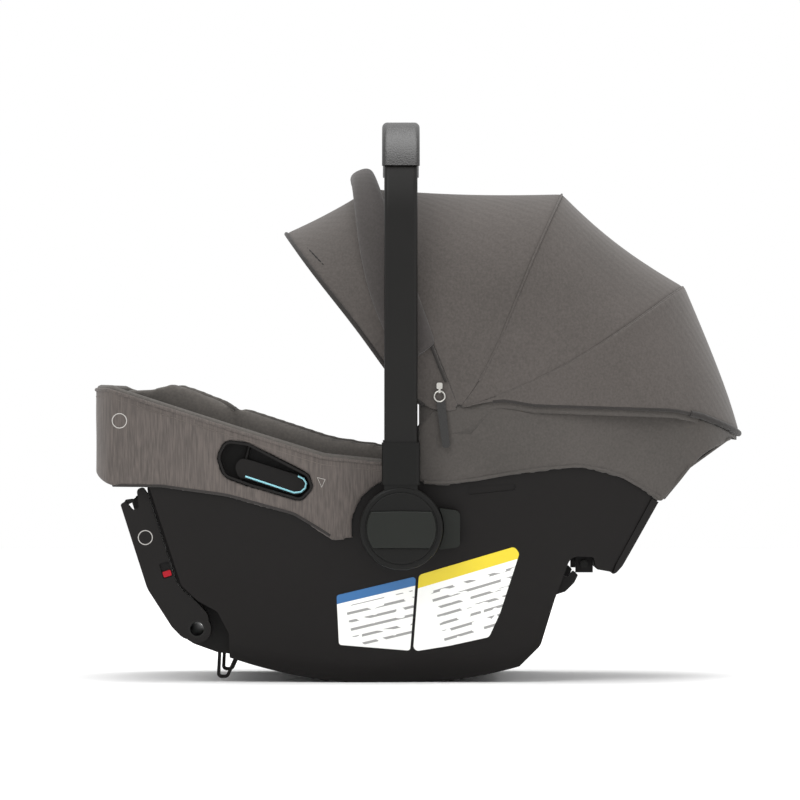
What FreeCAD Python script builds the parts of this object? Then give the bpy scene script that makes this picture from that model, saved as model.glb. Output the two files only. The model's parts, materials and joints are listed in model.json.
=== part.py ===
"""Infant car seat (carrier) as an assembly of separate sub-parts, in millimetres.

Frame: +Z up, +X towards the head end, -X towards the foot end, -Y the seat's left side.
The origin is on the standing surface, under the middle of the seat.
"""
import FreeCAD, Part
import functools
import math
import os

from FreeCAD import Vector

# ---------------------------------------------------------------- driving dimensions
FRONT_X = -331.0            # foot end of the moulded tub
REAR_X = 326.0              # head end of the moulded tub
END_BULGE = 4.0             # how far the middle of each end stands out, seen from above
TUB_HALF_WIDTH = 180.0      # tub at its widest, measured at SECTION_TOP
SECTION_TOP = 380.0         # height where the tub's cross-sections are squared off, above every rim
WALL = 3.5                  # tub wall
FIT = 0.3                   # gap between a part and its soft or loose neighbour
RUNNING = 0.05              # radial clearance of a pin in its eye

ROCKER_RADIUS = 500.0       # curve of the underside, seen from the side
ROCKER_X = -30.0            # lowest point of that curve
ROCKER_FLAT = 2.0           # how far the curve is flattened at the bottom, to stand on

LINER = 16.0                # energy-absorbing foam
PAD = 10.0                  # padded seat cover
INSERT = 9.0                # infant insert on the cover
HEAD_BOLSTER = 20.0         # head support's side rolls
WRAP = 3.2                  # quilted fabric on the outside of the tub
RIB = 3.0
RIB_PLACES = (-150, -85, 25, 90)
COVER = 1.8                 # trim on the head end of the tub
RECESS_DEPTH = 1.4          # shallow band sunk into the tub's side under the rear wrap

HUB_X, HUB_Z = -17.0, 159.5          # handle axis
HUB_RADIUS = 42.5
HUB_INNER_Y = 196.0                  # inner face of the handle at the hub
HUB_THICKNESS = 17.0
HUB_WEB = 3.0                        # hub floor that turns on the axle
AXLE_RADIUS = 10.0
AXLE_HEAD_RADIUS = 16.0
AXLE_HEAD = 3.0
CAP_RADIUS = 36.7
CAP_PROUD = 1.5
BUTTON_HEIGHT = 36.6
BUTTON_TRAVEL = 4.0
BUTTON_PROUD = 5.0
SPRING_RADIUS = 8.0
SPRING_WIRE = 0.5
SPRING_TURNS = 2
SPRING_CLOSED = 3.7                  # room for the spring when the button is fully in

HANDLE_TOP = 578.0
ARM_WIDTH = 34.0                     # handle section along X
ARM_THICKNESS = 16.0                 # handle section across
GRIP_SKIN = 2.2                      # soft cover over the crossbar
GRIP_BOTTOM = 530.0
HANDLE_CORNER = 100.0                # outer bend of the handle
SLEEVE_WIDTH = 39.0
SLEEVE_WALL = 2.0
SLEEVE_BOTTOM, SLEEVE_TOP = 204.0, 247.0

PIVOT_X, PIVOT_Z = 42.0, 282.0       # canopy axis
PIVOT_PIN = 4.0
CANOPY_HALF_WIDTH = 184.0
CANOPY_CORNER = 118.0                # bend of the bows between leg and top
CANOPY_SKIN = 2.6
BOW_RADIUS = 4.0
EYE_PLATE = 3.0
EYE_RADIUS = 9.0
EYE_PITCH = 4.0                      # spacing of the bows' eyes along the pin
EYE_FIRST_Y = 150.0
LINK_INNER, LINK_OUTER = 52.0, 62.0  # where each eye plate steps out to its bow's leg
LINK_WIDTH = 7.0
# each bow: angle above +X in degrees, reach from the canopy axis
REAR_BOW = (28.3, 266.0)
MID_BOW = (64.1, 247.5)
FRONT_BOW = (111.9, 246.0)
VISOR_BOW = (133.6, 255.0)
# canopy tail below the rear bow: angle, reach, how far each side is drawn in towards the tub
TAIL = ((13.2, 272.0, 0.0), (0.2, 286.0, 3.0), (-6.4, 294.5, 6.0))
BOW_GAP = 0.8                        # the bows lie this far under the fabric
BAND_RADIUS = 13.0                   # padded roll over the front bow
BAND_SIDE_INSET = 6.0                # that roll sits this far inside the canopy's side
BAND_START = 75.0                    # where that roll starts, from the canopy axis

LATCH_X, LATCH_Z = -227.0, 55.0      # axis of the folding anchor arms
LATCH_REST = 107.7                   # direction of the folded arms' straight part, degrees above +X
LATCH_Y = 140.0                      # arm spacing is that of the car's two anchor bars, 280 mm
LATCH_THICK = 24.0
LATCH_ROOT = 14.5                    # radius of the arm's eye
TUBE_RADIUS = 9.0
TUBE_WALL = 2.0
HOOK_THICK = 5.0
HOOK_PIN = 3.0
HOOK_U, HOOK_V = 116.0, 26.5         # hook pin, along the arm and across it from its axis
SLIDER_U, SLIDER_LENGTH, SLIDER_TRAVEL = 60.5, 6.0, 8.0

CROTCH_WEBBING = 38.0
WEBBING = 30.0
WEBBING_THICK = 1.6
BUCKLE_X = -92.0
BUCKLE_LENGTH, BUCKLE_WIDTH, BUCKLE_HEIGHT = 50.0, 44.0, 17.0
BUCKLE_LIFT = 6.0                    # the buckle's back stands this far off the insert
BUCKLE_BUTTON_HALF = 10.0            # half the length of its button along the strap
BUCKLE_BUTTON_WIDE = 14.0            # half its width
SHOULDER_X, SHOULDER_Y = 112.0, 52.0 # where the shoulder straps leave through the back
SHOULDER_FOOT_Y = 14.0               # and where they reach the buckle
HIP_X, HIP_Y = 8.0, 116.0            # where the lap straps leave through the sides
CLIP_X = 8.0
ADJUSTER_X = -238.0

ZIP_X, ZIP_Z = 22.0, 303.0           # slider of the canopy's zip
ZIP_RING, ZIP_RING_WIRE = 5.4, 0.9
ZIP_CLEAR = 2.0                      # the ring's arc needs this above its eye when it swings

DOCK_X, DOCK_Z = 172.0, 121.0        # steel bar that a stroller or base catches
DOCK_RADIUS = 4.0

TAB_INNER_Y, TAB_OUTER_Y = 161.0, 188.0   # release tab beside each hub
TAB_TRAVEL = 4.0

LABEL = 0.6
FASTENER_RADIUS = 3.0

# Tub cross-sections: x, height of the underside, half width as a share of the widest,
# radius of the lower corner, lean of the side in degrees, height of the seat surface
SECTIONS = (
    (-345, 190, 0.880, 20, 85, 300),
    (-320, 176, 0.900, 22, 85, 280),
    (-290, 136, 0.925, 24, 84, 252),
    (-250, 68, 0.945, 28, 83, 214),
    (-215, 22, 0.962, 32, 83, 182),
    (-180, 6, 0.975, 36, 82, 154),
    (-110, -8, 0.990, 40, 82, 104),
    (-30, -12, 1.000, 42, 82, 80),
    (60, -7, 1.000, 42, 82, 108),
    (110, 2, 0.990, 40, 82, 140),
    (150, 46, 0.975, 36, 82, 166),
    (200, 96, 0.945, 34, 82, 198),
    (245, 150, 0.910, 32, 82, 226),
    (285, 200, 0.870, 30, 83, 250),
    (345, 240, 0.780, 26, 84, 284),
)
SEAT_CORNER = 60.0          # hollow of the seat between floor and side

# ---------------------------------------------------------------- side outlines (x, z, radius)
TUB_SIDE = (
    (FRONT_X - 1, SECTION_TOP, 0), (FRONT_X - 1, 206, 28), (-277, 205, 3), (-243, 100, 12), (-226, 84, 8),
    (-206, 73, 9), (-194, 50, 8), (-193, -20, 0), (68, -20, 0), (126, 38, 14), (140.5, 86, 6),
    (157, 130, 11), (180.5, 129, 3), (183, 116.5, 3), (202, 113, 5), (209, 121, 4), (246, 187, 25),
    (272, 217, 40), (317, 250, 12), (REAR_X + 1, 262, 8), (REAR_X + 1, SECTION_TOP, 0),
)
RIM = (
    (FRONT_X - 20, 303, 0), (-317, 301, 12), (-186, 258, 60), (-97, 230.5, 90), (-34, 225, 20),
    (16, 279, 14), (40, 282.5, 30), (262, 276, 40), (296, 268, 20), (REAR_X + 25, 241, 0),
)
CANOPY_HEM = (
    (FRONT_X, 286, 0), (PIVOT_X, 285, 30), (262, 279, 40), (298, 272, 20), (REAR_X + 25, 244, 0),
)
PAD_RIM = (
    (FRONT_X - 20, 300, 0), (-272, 302, 14), (-250, 308, 14), (-186, 283, 60), (-90, 252, 60),
    (-30, 243, 20), (0, 262, 12), (90, 264, 40), (262, 262, 40), (REAR_X + 25, 238, 0),
)
FRONT_HEM = (
    (FRONT_X - 20, 201, 0), (-263, 201, 30), (-195, 191, 40), (-127, 172, 30), (-86, 146, 8),
    (-66, 149, 6), (HUB_X, 156, 0),
)
REAR_HEM = (
    (2, 205, 4), (27, 202.5, 20), (88, 212, 60), (166, 222, 60), (217, 208, 30), (246, 186, 8),
    (262, 189, 6), (268, 209, 15), (296, 237, 30), (REAR_X + 25, 262, 0),
)
POCKET = (
    (-206, 232, 14), (-197, 249, 10), (-174, 246, 20), (-112, 214, 10), (-107, 200, 8), (-120, 187, 9),
    (-172, 202, 30), (-199, 212, 12),
)
LEVER = (
    (-188, 222, 9), (-184, 211, 6), (-168, 207, 20), (-125, 192.5, 8), (-112.5, 198, 7), (-116, 211, 7),
    (-170, 228, 12), (-182, 231, 7),
)
LEVER_PIN_X, LEVER_PIN_Z = -179.0, 219.5
LEVER_TILT = 14.0                    # the lever slopes down towards the head end, degrees
LEVER_PIN = 2.0
LEVER_INNER_Y, LEVER_OUTER_Y = 154.0, 166.0
# anchor arm, hook and slider: along the arm and across it (towards the foot end) from the arm's axis
LATCH_ARM = (
    (-13, 4, 10), (-4, 17, 14), (10, 24, 12), (55, 36, 30), (146, 36, 2.5), (147.5, 30.5, 2),
    (136.5, 26, 2.2), (136.5, 19, 2.6), (155, 15.5, 4), (156.5, 9, 7), (147, 6, 12), (48, 5.5, 25),
    (27, -8, 20), (12, -15, 12), (-12, -12, 12),
)
LATCH_HOOK = (
    (104, 24, 2), (110, 21, 3), (124, 22, 3), (139, 28.5, 3), (143.3, 28.5, 1), (144.3, 22.5, 0.8),
    (147.6, 22, 1.2), (149, 30, 2.5), (146, 32.5, 2.5), (112, 32, 4), (104, 30.5, 2),
)
HOOK_BAY = ((99, 14.5, 3), (160, 14.5, 0), (160, 45, 0), (99, 45, 3))
SLIDER_END = SLIDER_U + SLIDER_LENGTH
SLIDER = ((SLIDER_U, 7.6, 1.2), (SLIDER_END, 7.6, 1.2), (SLIDER_END, 16.2, 1.2), (SLIDER_U, 16.2, 1.2))
RECESS_END = SLIDER_END + SLIDER_TRAVEL + 1
RECESS_START = SLIDER_U - 1
SLIDER_RECESS = (
    (RECESS_START, 6.8, 1.5), (RECESS_END, 6.8, 1.5), (RECESS_END, 17, 1.5), (RECESS_START, 17, 1.5),
)
LATCH_BRACKET = (
    (-238, 74, 8), (-250, 52, 14), (-232, 39, 14), (-207, 30, 6), (-175, 26, 3), (-175, 100, 3), (-228, 92, 6),
)
COVER_SIDE = ((200, 111, 0), (204, 122, 0), (241, 190, 0), (262, 212, 0), (330, 212, 0), (330, 111, 0))
RECESS_BAND = ((51, 193, 3), (100, 198, 3), (100, 205, 3), (51, 202, 3))
GUIDE_LABEL = ((-83.5, 90, 3), (-2, 109.5, 3), (-8, 33, 3), (-81, 39, 3))
WARNING_LABEL = (
    (1, 111, 5), (99, 140, 5), (104, 133, 5), (84, 71, 12), (73, 47, 6), (32, 38, 12), (-5, 32, 5),
)


# ---------------------------------------------------------------- outline and solid helpers
def corner_cut(previous, corner, following):
    """Tangent points and middle of the arc that rounds one corner of an outline."""
    px, pz = previous[0] - corner[0], previous[1] - corner[1]
    fx, fz = following[0] - corner[0], following[1] - corner[1]
    p_len, f_len = math.hypot(px, pz), math.hypot(fx, fz)
    px, pz, fx, fz = px / p_len, pz / p_len, fx / f_len, fz / f_len
    half = math.acos(max(-1.0, min(1.0, px * fx + pz * fz))) / 2
    radius = corner[2]
    if radius <= 0 or half > math.pi / 2 - 0.004:
        return None
    p_room, f_room = (0.49 if end[2] > 0 else 0.98 for end in (previous, following))
    reach = min(radius / math.tan(half), p_room * p_len, f_room * f_len)
    radius = reach * math.tan(half)
    bx, bz = px + fx, pz + fz
    b_len = math.hypot(bx, bz)
    depth = radius / math.sin(half) - radius
    start = (corner[0] + px * reach, corner[1] + pz * reach)
    middle = (corner[0] + bx / b_len * depth, corner[1] + bz / b_len * depth)
    end = (corner[0] + fx * reach, corner[1] + fz * reach)
    return start, middle, end


def outline_edges(points, closed, place):
    """Straight edges and corner arcs through (a, b, radius) points, placed in space by place(a, b)."""
    edges = []
    count = len(points)
    cuts = []
    for i, point in enumerate(points):
        is_end = not closed and i in (0, count - 1)
        cuts.append(None if is_end else corner_cut(points[i - 1], point, points[(i + 1) % count]))
    for i in range(count if closed else count - 1):
        here, there = cuts[i], cuts[(i + 1) % count]
        start = here[2] if here else points[i][:2]
        end = there[0] if there else points[(i + 1) % count][:2]
        if math.hypot(end[0] - start[0], end[1] - start[1]) > 1e-4:
            edges.append(Part.makeLine(place(*start), place(*end)))
        if there and (closed or i < count - 2):
            edges.append(Part.Arc(place(*there[0]), place(*there[1]), place(*there[2])).toShape())
    return edges


def side_prism(points, y_low, y_high):
    """A side outline (x, z, radius) carried across from y_low to y_high."""
    wire = Part.Wire(outline_edges(points, True, lambda x, z: Vector(x, y_low, z)))
    return Part.Face(wire).extrude(Vector(0, y_high - y_low, 0))


def plan_prism(points, z_low, z_high):
    """A plan outline (x, y, radius) carried up from z_low to z_high."""
    wire = Part.Wire(outline_edges(points, True, lambda x, y: Vector(x, y, z_low)))
    return Part.Face(wire).extrude(Vector(0, 0, z_high - z_low))


def front_prism(points, x_low, x_high):
    """An outline in the Y-Z plane (y, z, radius) carried along from x_low to x_high."""
    wire = Part.Wire(outline_edges(points, True, lambda y, z: Vector(x_low, y, z)))
    return Part.Face(wire).extrude(Vector(x_high - x_low, 0, 0))


def above(line, lift=0.0):
    """Everything above an open rim or hem line, raised by lift."""
    closed = [(x, z + lift, r) for x, z, r in line]
    closed += [(line[-1][0], 900, 0), (line[0][0], 900, 0)]
    return side_prism(closed, -300, 300)


def below(line, lift=0.0):
    """Everything below an open rim or hem line, raised by lift."""
    closed = [(x, z + lift, r) for x, z, r in line]
    closed += [(line[-1][0], -100, 0), (line[0][0], -100, 0)]
    return side_prism(closed, -300, 300)


def offset_outline(points, inset):
    """A closed outline moved inwards by inset, keeping each corner's arc concentric."""
    count = len(points)
    area = sum(points[i - 1][0] * points[i][1] - points[i][0] * points[i - 1][1] for i in range(count))
    side = 1.0 if area > 0 else -1.0
    moved = []
    for i, (x, z, radius) in enumerate(points):
        before, after = points[i - 1], points[(i + 1) % count]
        ax, az = x - before[0], z - before[1]
        bx, bz = after[0] - x, after[1] - z
        a_len, b_len = math.hypot(ax, az), math.hypot(bx, bz)
        ax, az, bx, bz = ax / a_len, az / a_len, bx / b_len, bz / b_len
        turn = ax * bz - az * bx
        along = ax * bx + az * bz
        shift = inset * side / (1 + along)
        nx, nz = -(az + bz) * shift, (ax + bx) * shift
        convex = turn * side > 0
        new_radius = 0 if radius == 0 else max(radius + (-inset if convex else inset), 0.5)
        moved.append((x + nx, z + nz, new_radius))
    return moved


def box(x0, x1, y0, y1, z0, z1):
    """A plain box between two corners."""
    return Part.makeBox(x1 - x0, y1 - y0, z1 - z0, Vector(x0, y0, z0))


def rod(x, z, radius, y0, y1):
    """A cylinder across the seat, from y0 to y1."""
    return Part.makeCylinder(radius, y1 - y0, Vector(x, y0, z), Vector(0, 1, 0))


def mirrored(shape):
    """The same piece on the other side of the seat."""
    return shape.mirror(Vector(0, 0, 0), Vector(0, 1, 0))


def turned(shape, x, z, degrees):
    """A piece turned about a cross axis; positive lifts +X towards +Z."""
    copy = shape.copy()
    copy.rotate(Vector(x, 0, z), Vector(0, -1, 0), degrees)
    return copy


def rounded(shape, radius, chooser):
    """Fillet the edges that chooser picks."""
    return shape.makeFillet(radius, [edge for edge in shape.Edges if chooser(edge)])


# ---------------------------------------------------------------- tub volumes
def cross_section(x, floor, half_width, corner, lean):
    """A U-shaped section: flat floor, round lower corners and gently bowed sides."""
    angle = math.radians(lean)
    rise = SECTION_TOP - floor - corner * (1 - math.cos(angle))
    bow = rise / math.cos(angle)
    side_y = half_width - bow * (1 - math.sin(angle))
    side_z = floor + corner * (1 - math.cos(angle))
    floor_y = side_y - corner * math.sin(angle)
    corner_mid = (floor_y + corner * math.sin(angle / 2), floor + corner * (1 - math.cos(angle / 2)))
    bow_angle = (angle + math.pi / 2) / 2
    bow_mid = (half_width - bow * (1 - math.sin(bow_angle)), SECTION_TOP - bow * math.cos(bow_angle))
    return Part.Wire([
        Part.makeLine(Vector(x, half_width, SECTION_TOP), Vector(x, -half_width, SECTION_TOP)),
        Part.Arc(Vector(x, -half_width, SECTION_TOP), Vector(x, -bow_mid[0], bow_mid[1]),
                 Vector(x, -side_y, side_z)).toShape(),
        Part.Arc(Vector(x, -side_y, side_z), Vector(x, -corner_mid[0], corner_mid[1]),
                 Vector(x, -floor_y, floor)).toShape(),
        Part.makeLine(Vector(x, -floor_y, floor), Vector(x, floor_y, floor)),
        Part.Arc(Vector(x, floor_y, floor), Vector(x, corner_mid[0], corner_mid[1]),
                 Vector(x, side_y, side_z)).toShape(),
        Part.Arc(Vector(x, side_y, side_z), Vector(x, bow_mid[0], bow_mid[1]),
                 Vector(x, half_width, SECTION_TOP)).toShape(),
    ])


def plan_outline(inset):
    """The tub seen from above: rounded foot end, rounder head end."""
    front, rear = FRONT_X + END_BULGE, REAR_X - END_BULGE
    wide = TUB_HALF_WIDTH + 35
    front_half, rear_half = TUB_HALF_WIDTH - 16, TUB_HALF_WIDTH - 40
    points = [
        (front, -front_half, 52), (-120, -wide, 0), (150, -wide, 0), (rear, -rear_half, 80),
        (REAR_X, 0, 900), (rear, rear_half, 80), (150, wide, 0), (-120, wide, 0), (front, front_half, 52),
        (FRONT_X, 0, 900),
    ]
    return offset_outline(points, inset)


@functools.lru_cache(maxsize=None)
def tub_volume(inset):
    """The solid volume of the tub, moved inwards by inset, up to above every rim."""
    wires = []
    for x, floor, share, corner, lean, _seat in SECTIONS:
        half_width = TUB_HALF_WIDTH * share - inset
        wires.append(cross_section(x, floor + inset, half_width, max(corner - inset, 4), lean))
    limits = side_prism(offset_outline(TUB_SIDE, inset), -300, 300)
    limits = limits.common(plan_prism(plan_outline(inset), inset, SECTION_TOP - 10))
    limits = limits.common(rod(ROCKER_X, ROCKER_RADIUS - ROCKER_FLAT, ROCKER_RADIUS - inset, -300, 300))
    return Part.makeLoft(wires, True, False).common(limits)


@functools.lru_cache(maxsize=None)
def seat_volume(inset):
    """The hollow that the child sits in, moved inwards (up from the floor) by inset."""
    wires = []
    side_gap = WALL + FIT + LINER
    for x, _floor, share, _corner, lean, seat in SECTIONS:
        half_width = TUB_HALF_WIDTH * share - side_gap - inset
        corner = min(SEAT_CORNER, 0.5 * (SECTION_TOP - seat)) - inset
        wires.append(cross_section(x, seat + inset, half_width, corner, min(lean, 80)))
    volume = Part.makeLoft(wires, True, False)
    end_gap = side_gap + 6
    return volume.common(plan_prism(plan_outline(end_gap + inset), -50, SECTION_TOP - 10))


def on_side(shape, side):
    """Only the part of a shape on one side of the seat; side is -1 (left) or +1 (right)."""
    low, high = (-300, 0) if side < 0 else (0, 300)
    return shape.common(box(-450, 450, low, high, -100, 900))


def largest(shape):
    """The biggest solid of a cut, without the slivers a cut may leave."""
    return max(shape.Solids, key=lambda solid: solid.Volume)


# ---------------------------------------------------------------- tub, liner and covers
def make_tub_parts(outer, inner):
    """Moulded tub, its ribs, foam liner, rear cover and labels."""
    parts = {}
    tub = outer.cut(inner).cut(above(RIM))
    for side in (-1, 1):
        y0, y1 = sorted((side * 120, side * 230))
        tub = tub.cut(side_prism(offset_outline(POCKET, -FIT), y0, y1))
        tub = tub.cut(stroller_button_blank(side, FIT))
        tub = tub.cut(rod(HUB_X, HUB_Z, AXLE_RADIUS, y0, y1))
    skin = tub_volume(-1).cut(tub_volume(RECESS_DEPTH))
    parts["shell_tub"] = largest(tub.cut(skin.common(side_prism(RECESS_BAND, -300, 300))))

    seat = seat_volume(0)
    liner_outer = seat_volume(-LINER).common(tub_volume(WALL + FIT))
    liner = liner_outer.cut(seat).cut(above(PAD_RIM, -14)).cut(above(RIM, -4))
    for side in (-1, 1):
        y0, y1 = sorted((side * 120, side * 230))
        liner = liner.cut(side_prism(offset_outline(POCKET, -FIT), y0, y1))
        liner = liner.cut(stroller_button_blank(side, 2.0))
        liner = liner.cut(rod(HUB_X, HUB_Z, AXLE_RADIUS + 6, y0, y1))
    parts["foam_liner"] = largest(liner)

    space = inner.cut(seat_volume(-LINER - FIT))
    ribs = []
    for x in RIB_PLACES:
        ribs.append(largest(space.common(box(x, x + RIB, -120, 120, 0, 200))))
    parts["support_ribs"] = Part.makeCompound(ribs)

    cover = tub_volume(-COVER).cut(outer).common(side_prism(COVER_SIDE, -300, 300))
    parts["rear_cover"] = largest(cover.common(below(REAR_HEM, -1)))

    label_skin = on_side(tub_volume(-LABEL).cut(outer), -1)
    for name, label in (("label_guide", GUIDE_LABEL), ("label_warning", WARNING_LABEL)):
        parts[name] = largest(label_skin.common(side_prism(label, -300, 0)))
    return parts


def make_covers(outer):
    """Outer fabric wraps, seat cover, infant insert and head support."""
    parts = {}
    skin = tub_volume(-FIT - WRAP).cut(tub_volume(-FIT)).cut(above(RIM, 1.5))
    hub_gap = rod(HUB_X, HUB_Z, HUB_RADIUS + 8, -300, 300)
    pockets = side_prism(offset_outline(POCKET, -FIT), -300, 300)
    front = skin.cut(below(FRONT_HEM)).common(box(-450, HUB_X - 12, -300, 300, 0, 400))
    front = front.cut(hub_gap).cut(pockets)
    parts["front_wrap"] = largest(front)
    rear = skin.cut(below(REAR_HEM)).common(box(1, 450, -300, 300, 0, 400)).cut(hub_gap)
    parts["rear_wrap"] = largest(rear)

    seat = seat_volume(FIT)
    parts["seat_pad"] = largest(seat.cut(seat_volume(FIT + PAD)).cut(above(PAD_RIM)))
    bed = seat_volume(2 * FIT + PAD)
    insert = bed.cut(seat_volume(2 * FIT + PAD + INSERT)).cut(above(PAD_RIM, -30))
    parts["infant_insert"] = largest(insert.common(box(-215, 118, -300, 300, 0, 400)))
    head = bed.cut(seat_volume(2 * FIT + PAD + HEAD_BOLSTER)).cut(above(PAD_RIM, -12))
    parts["head_support"] = largest(head.common(box(120, 245, -300, 300, 0, 400)))
    return parts


# ---------------------------------------------------------------- harness
def strap(x0, y0, x1, y1, width, lift, thickness):
    """Webbing that lies on the insert, between two plan points, on one side of the seat."""
    length = math.hypot(x1 - x0, y1 - y0)
    strip = box(0, length, -width / 2, width / 2, 0, 400)
    strip.rotate(Vector(0, 0, 0), Vector(0, 0, 1), math.degrees(math.atan2(y1 - y0, x1 - x0)))
    strip.translate(Vector(x0, y0, 0))
    base = 3 * FIT + PAD + INSERT + lift
    return largest(seat_volume(base).cut(seat_volume(base + thickness)).common(strip))



def seat_height(x):
    """Height of the insert's upper surface on the centre line."""
    for left, right in zip(SECTIONS, SECTIONS[1:]):
        if left[0] <= x <= right[0]:
            share = (x - left[0]) / (right[0] - left[0])
            return left[5] + share * (right[5] - left[5]) + 3 * FIT + PAD + INSERT
    raise ValueError("x lies outside the seat")


def slope_at(x):
    """Slope of the seat's surface at x, in degrees."""
    return math.degrees(math.atan2(seat_height(x + 12) - seat_height(x - 12), 24))


def seated(shape, x, lift):
    """Move a piece modelled at the origin onto the insert at x, tilted with the surface."""
    copy = shape.copy()
    copy.rotate(Vector(0, 0, 0), Vector(0, -1, 0), slope_at(x))
    copy.translate(Vector(x, 0, seat_height(x) + lift))
    return copy


def make_straps():
    """Webbing of the five-point harness and its shoulder pads."""
    shoulder = strap(BUCKLE_X + 40, SHOULDER_FOOT_Y, SHOULDER_X, SHOULDER_Y, WEBBING, 0, WEBBING_THICK)
    lap = strap(BUCKLE_X + 28, 20, HIP_X, HIP_Y, WEBBING, 2, WEBBING_THICK)
    crotch = strap(-158, 0, BUCKLE_X - BUCKLE_LENGTH / 2 - 1, 0, CROTCH_WEBBING, 0, WEBBING_THICK)
    webbing = Part.makeCompound([mirrored(shoulder), shoulder, mirrored(lap), lap, crotch])
    pad_y = (SHOULDER_FOOT_Y + SHOULDER_Y) / 2 + 2
    pad = strap(28, pad_y, 100, SHOULDER_Y - 3, WEBBING + 16, WEBBING_THICK + 2 * FIT, 9)
    return {"harness_webbing": webbing, "shoulder_pads": Part.makeCompound([mirrored(pad), pad])}


def upright(height):
    """Chooser of the edges that stand up over the whole height of a piece."""
    return lambda edge: abs(edge.BoundBox.ZLength - height) < 1e-6


def make_buckle():
    """Chest clip, and the buckle with its press button and two tongues."""
    parts = {}
    clip_height = 6
    clip = rounded(box(-13, 13, -42, 42, 0, clip_height), 4, upright(clip_height))
    clip = clip.cut(box(-3, 3, -1, 1, -1, clip_height + 1))
    parts["chest_clip"] = seated(clip, CLIP_X, WEBBING_THICK + 8)

    half, wide, height = BUCKLE_LENGTH / 2, BUCKLE_WIDTH / 2, BUCKLE_HEIGHT
    body = rounded(box(-half, half, -wide, wide, 0, height), 9, upright(height))
    body = rounded(body, 3, lambda e: e.BoundBox.ZMin > height - 1e-6)
    middle, press, broad = -7.0, BUCKLE_BUTTON_HALF, BUCKLE_BUTTON_WIDE
    body = body.cut(box(middle - press - FIT, middle + press + FIT, -broad - FIT, broad + FIT,
                        height - 7, height + 1))
    body = body.cut(box(half - 16, half + 1, -16, 16, height / 2 - 2, height / 2 + 2))
    parts["buckle_body"] = seated(body, BUCKLE_X, BUCKLE_LIFT)
    depth = 4.6
    button = box(middle - press, middle + press, -broad, broad, height + 1 - depth, height + 1)
    parts["buckle_button"] = seated(rounded(button, 2.5, upright(depth)), BUCKLE_X, BUCKLE_LIFT)
    tongue = box(half - 15.5, half + 12, 0.6, 15.5, height / 2 - 1.2, height / 2 + 1.2)
    tongues = Part.makeCompound([mirrored(tongue), tongue])
    parts["buckle_tongues"] = seated(tongues, BUCKLE_X, BUCKLE_LIFT)
    return parts


def make_adjuster():
    """Frame and button that let the harness be pulled tight at the foot end."""
    height = 8.0
    frame = rounded(box(-17, 17, -22, 22, 0, height), 5, upright(height))
    frame = frame.cut(box(-12, 9, -14 - FIT, 14 + FIT, 2.5, height + 1))
    key = box(-11.5, 8.5, -14, 14, 5.4, 9.2)
    lift = 3 - INSERT
    return {
        "adjuster_frame": seated(frame, ADJUSTER_X, lift),
        "adjuster_button": seated(key, ADJUSTER_X, lift),
    }


# ---------------------------------------------------------------- carry handle and its hubs
def stroller_button_blank(side, gap):
    """Release tab beside the hub, on one side, grown by gap."""
    outline = ((20.5, 137, 3), (43, 140, 5), (43, 177, 6), (20.5, 180, 3))
    inner_y = TAB_INNER_Y - (TAB_TRAVEL + 2 if gap else 0)
    y0, y1 = sorted((side * inner_y, side * TAB_OUTER_Y))
    tab = side_prism(offset_outline(outline, -gap), y0, y1)
    return tab.cut(rod(HUB_X, HUB_Z, HUB_RADIUS + 1 - gap, y0, y1))


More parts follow.
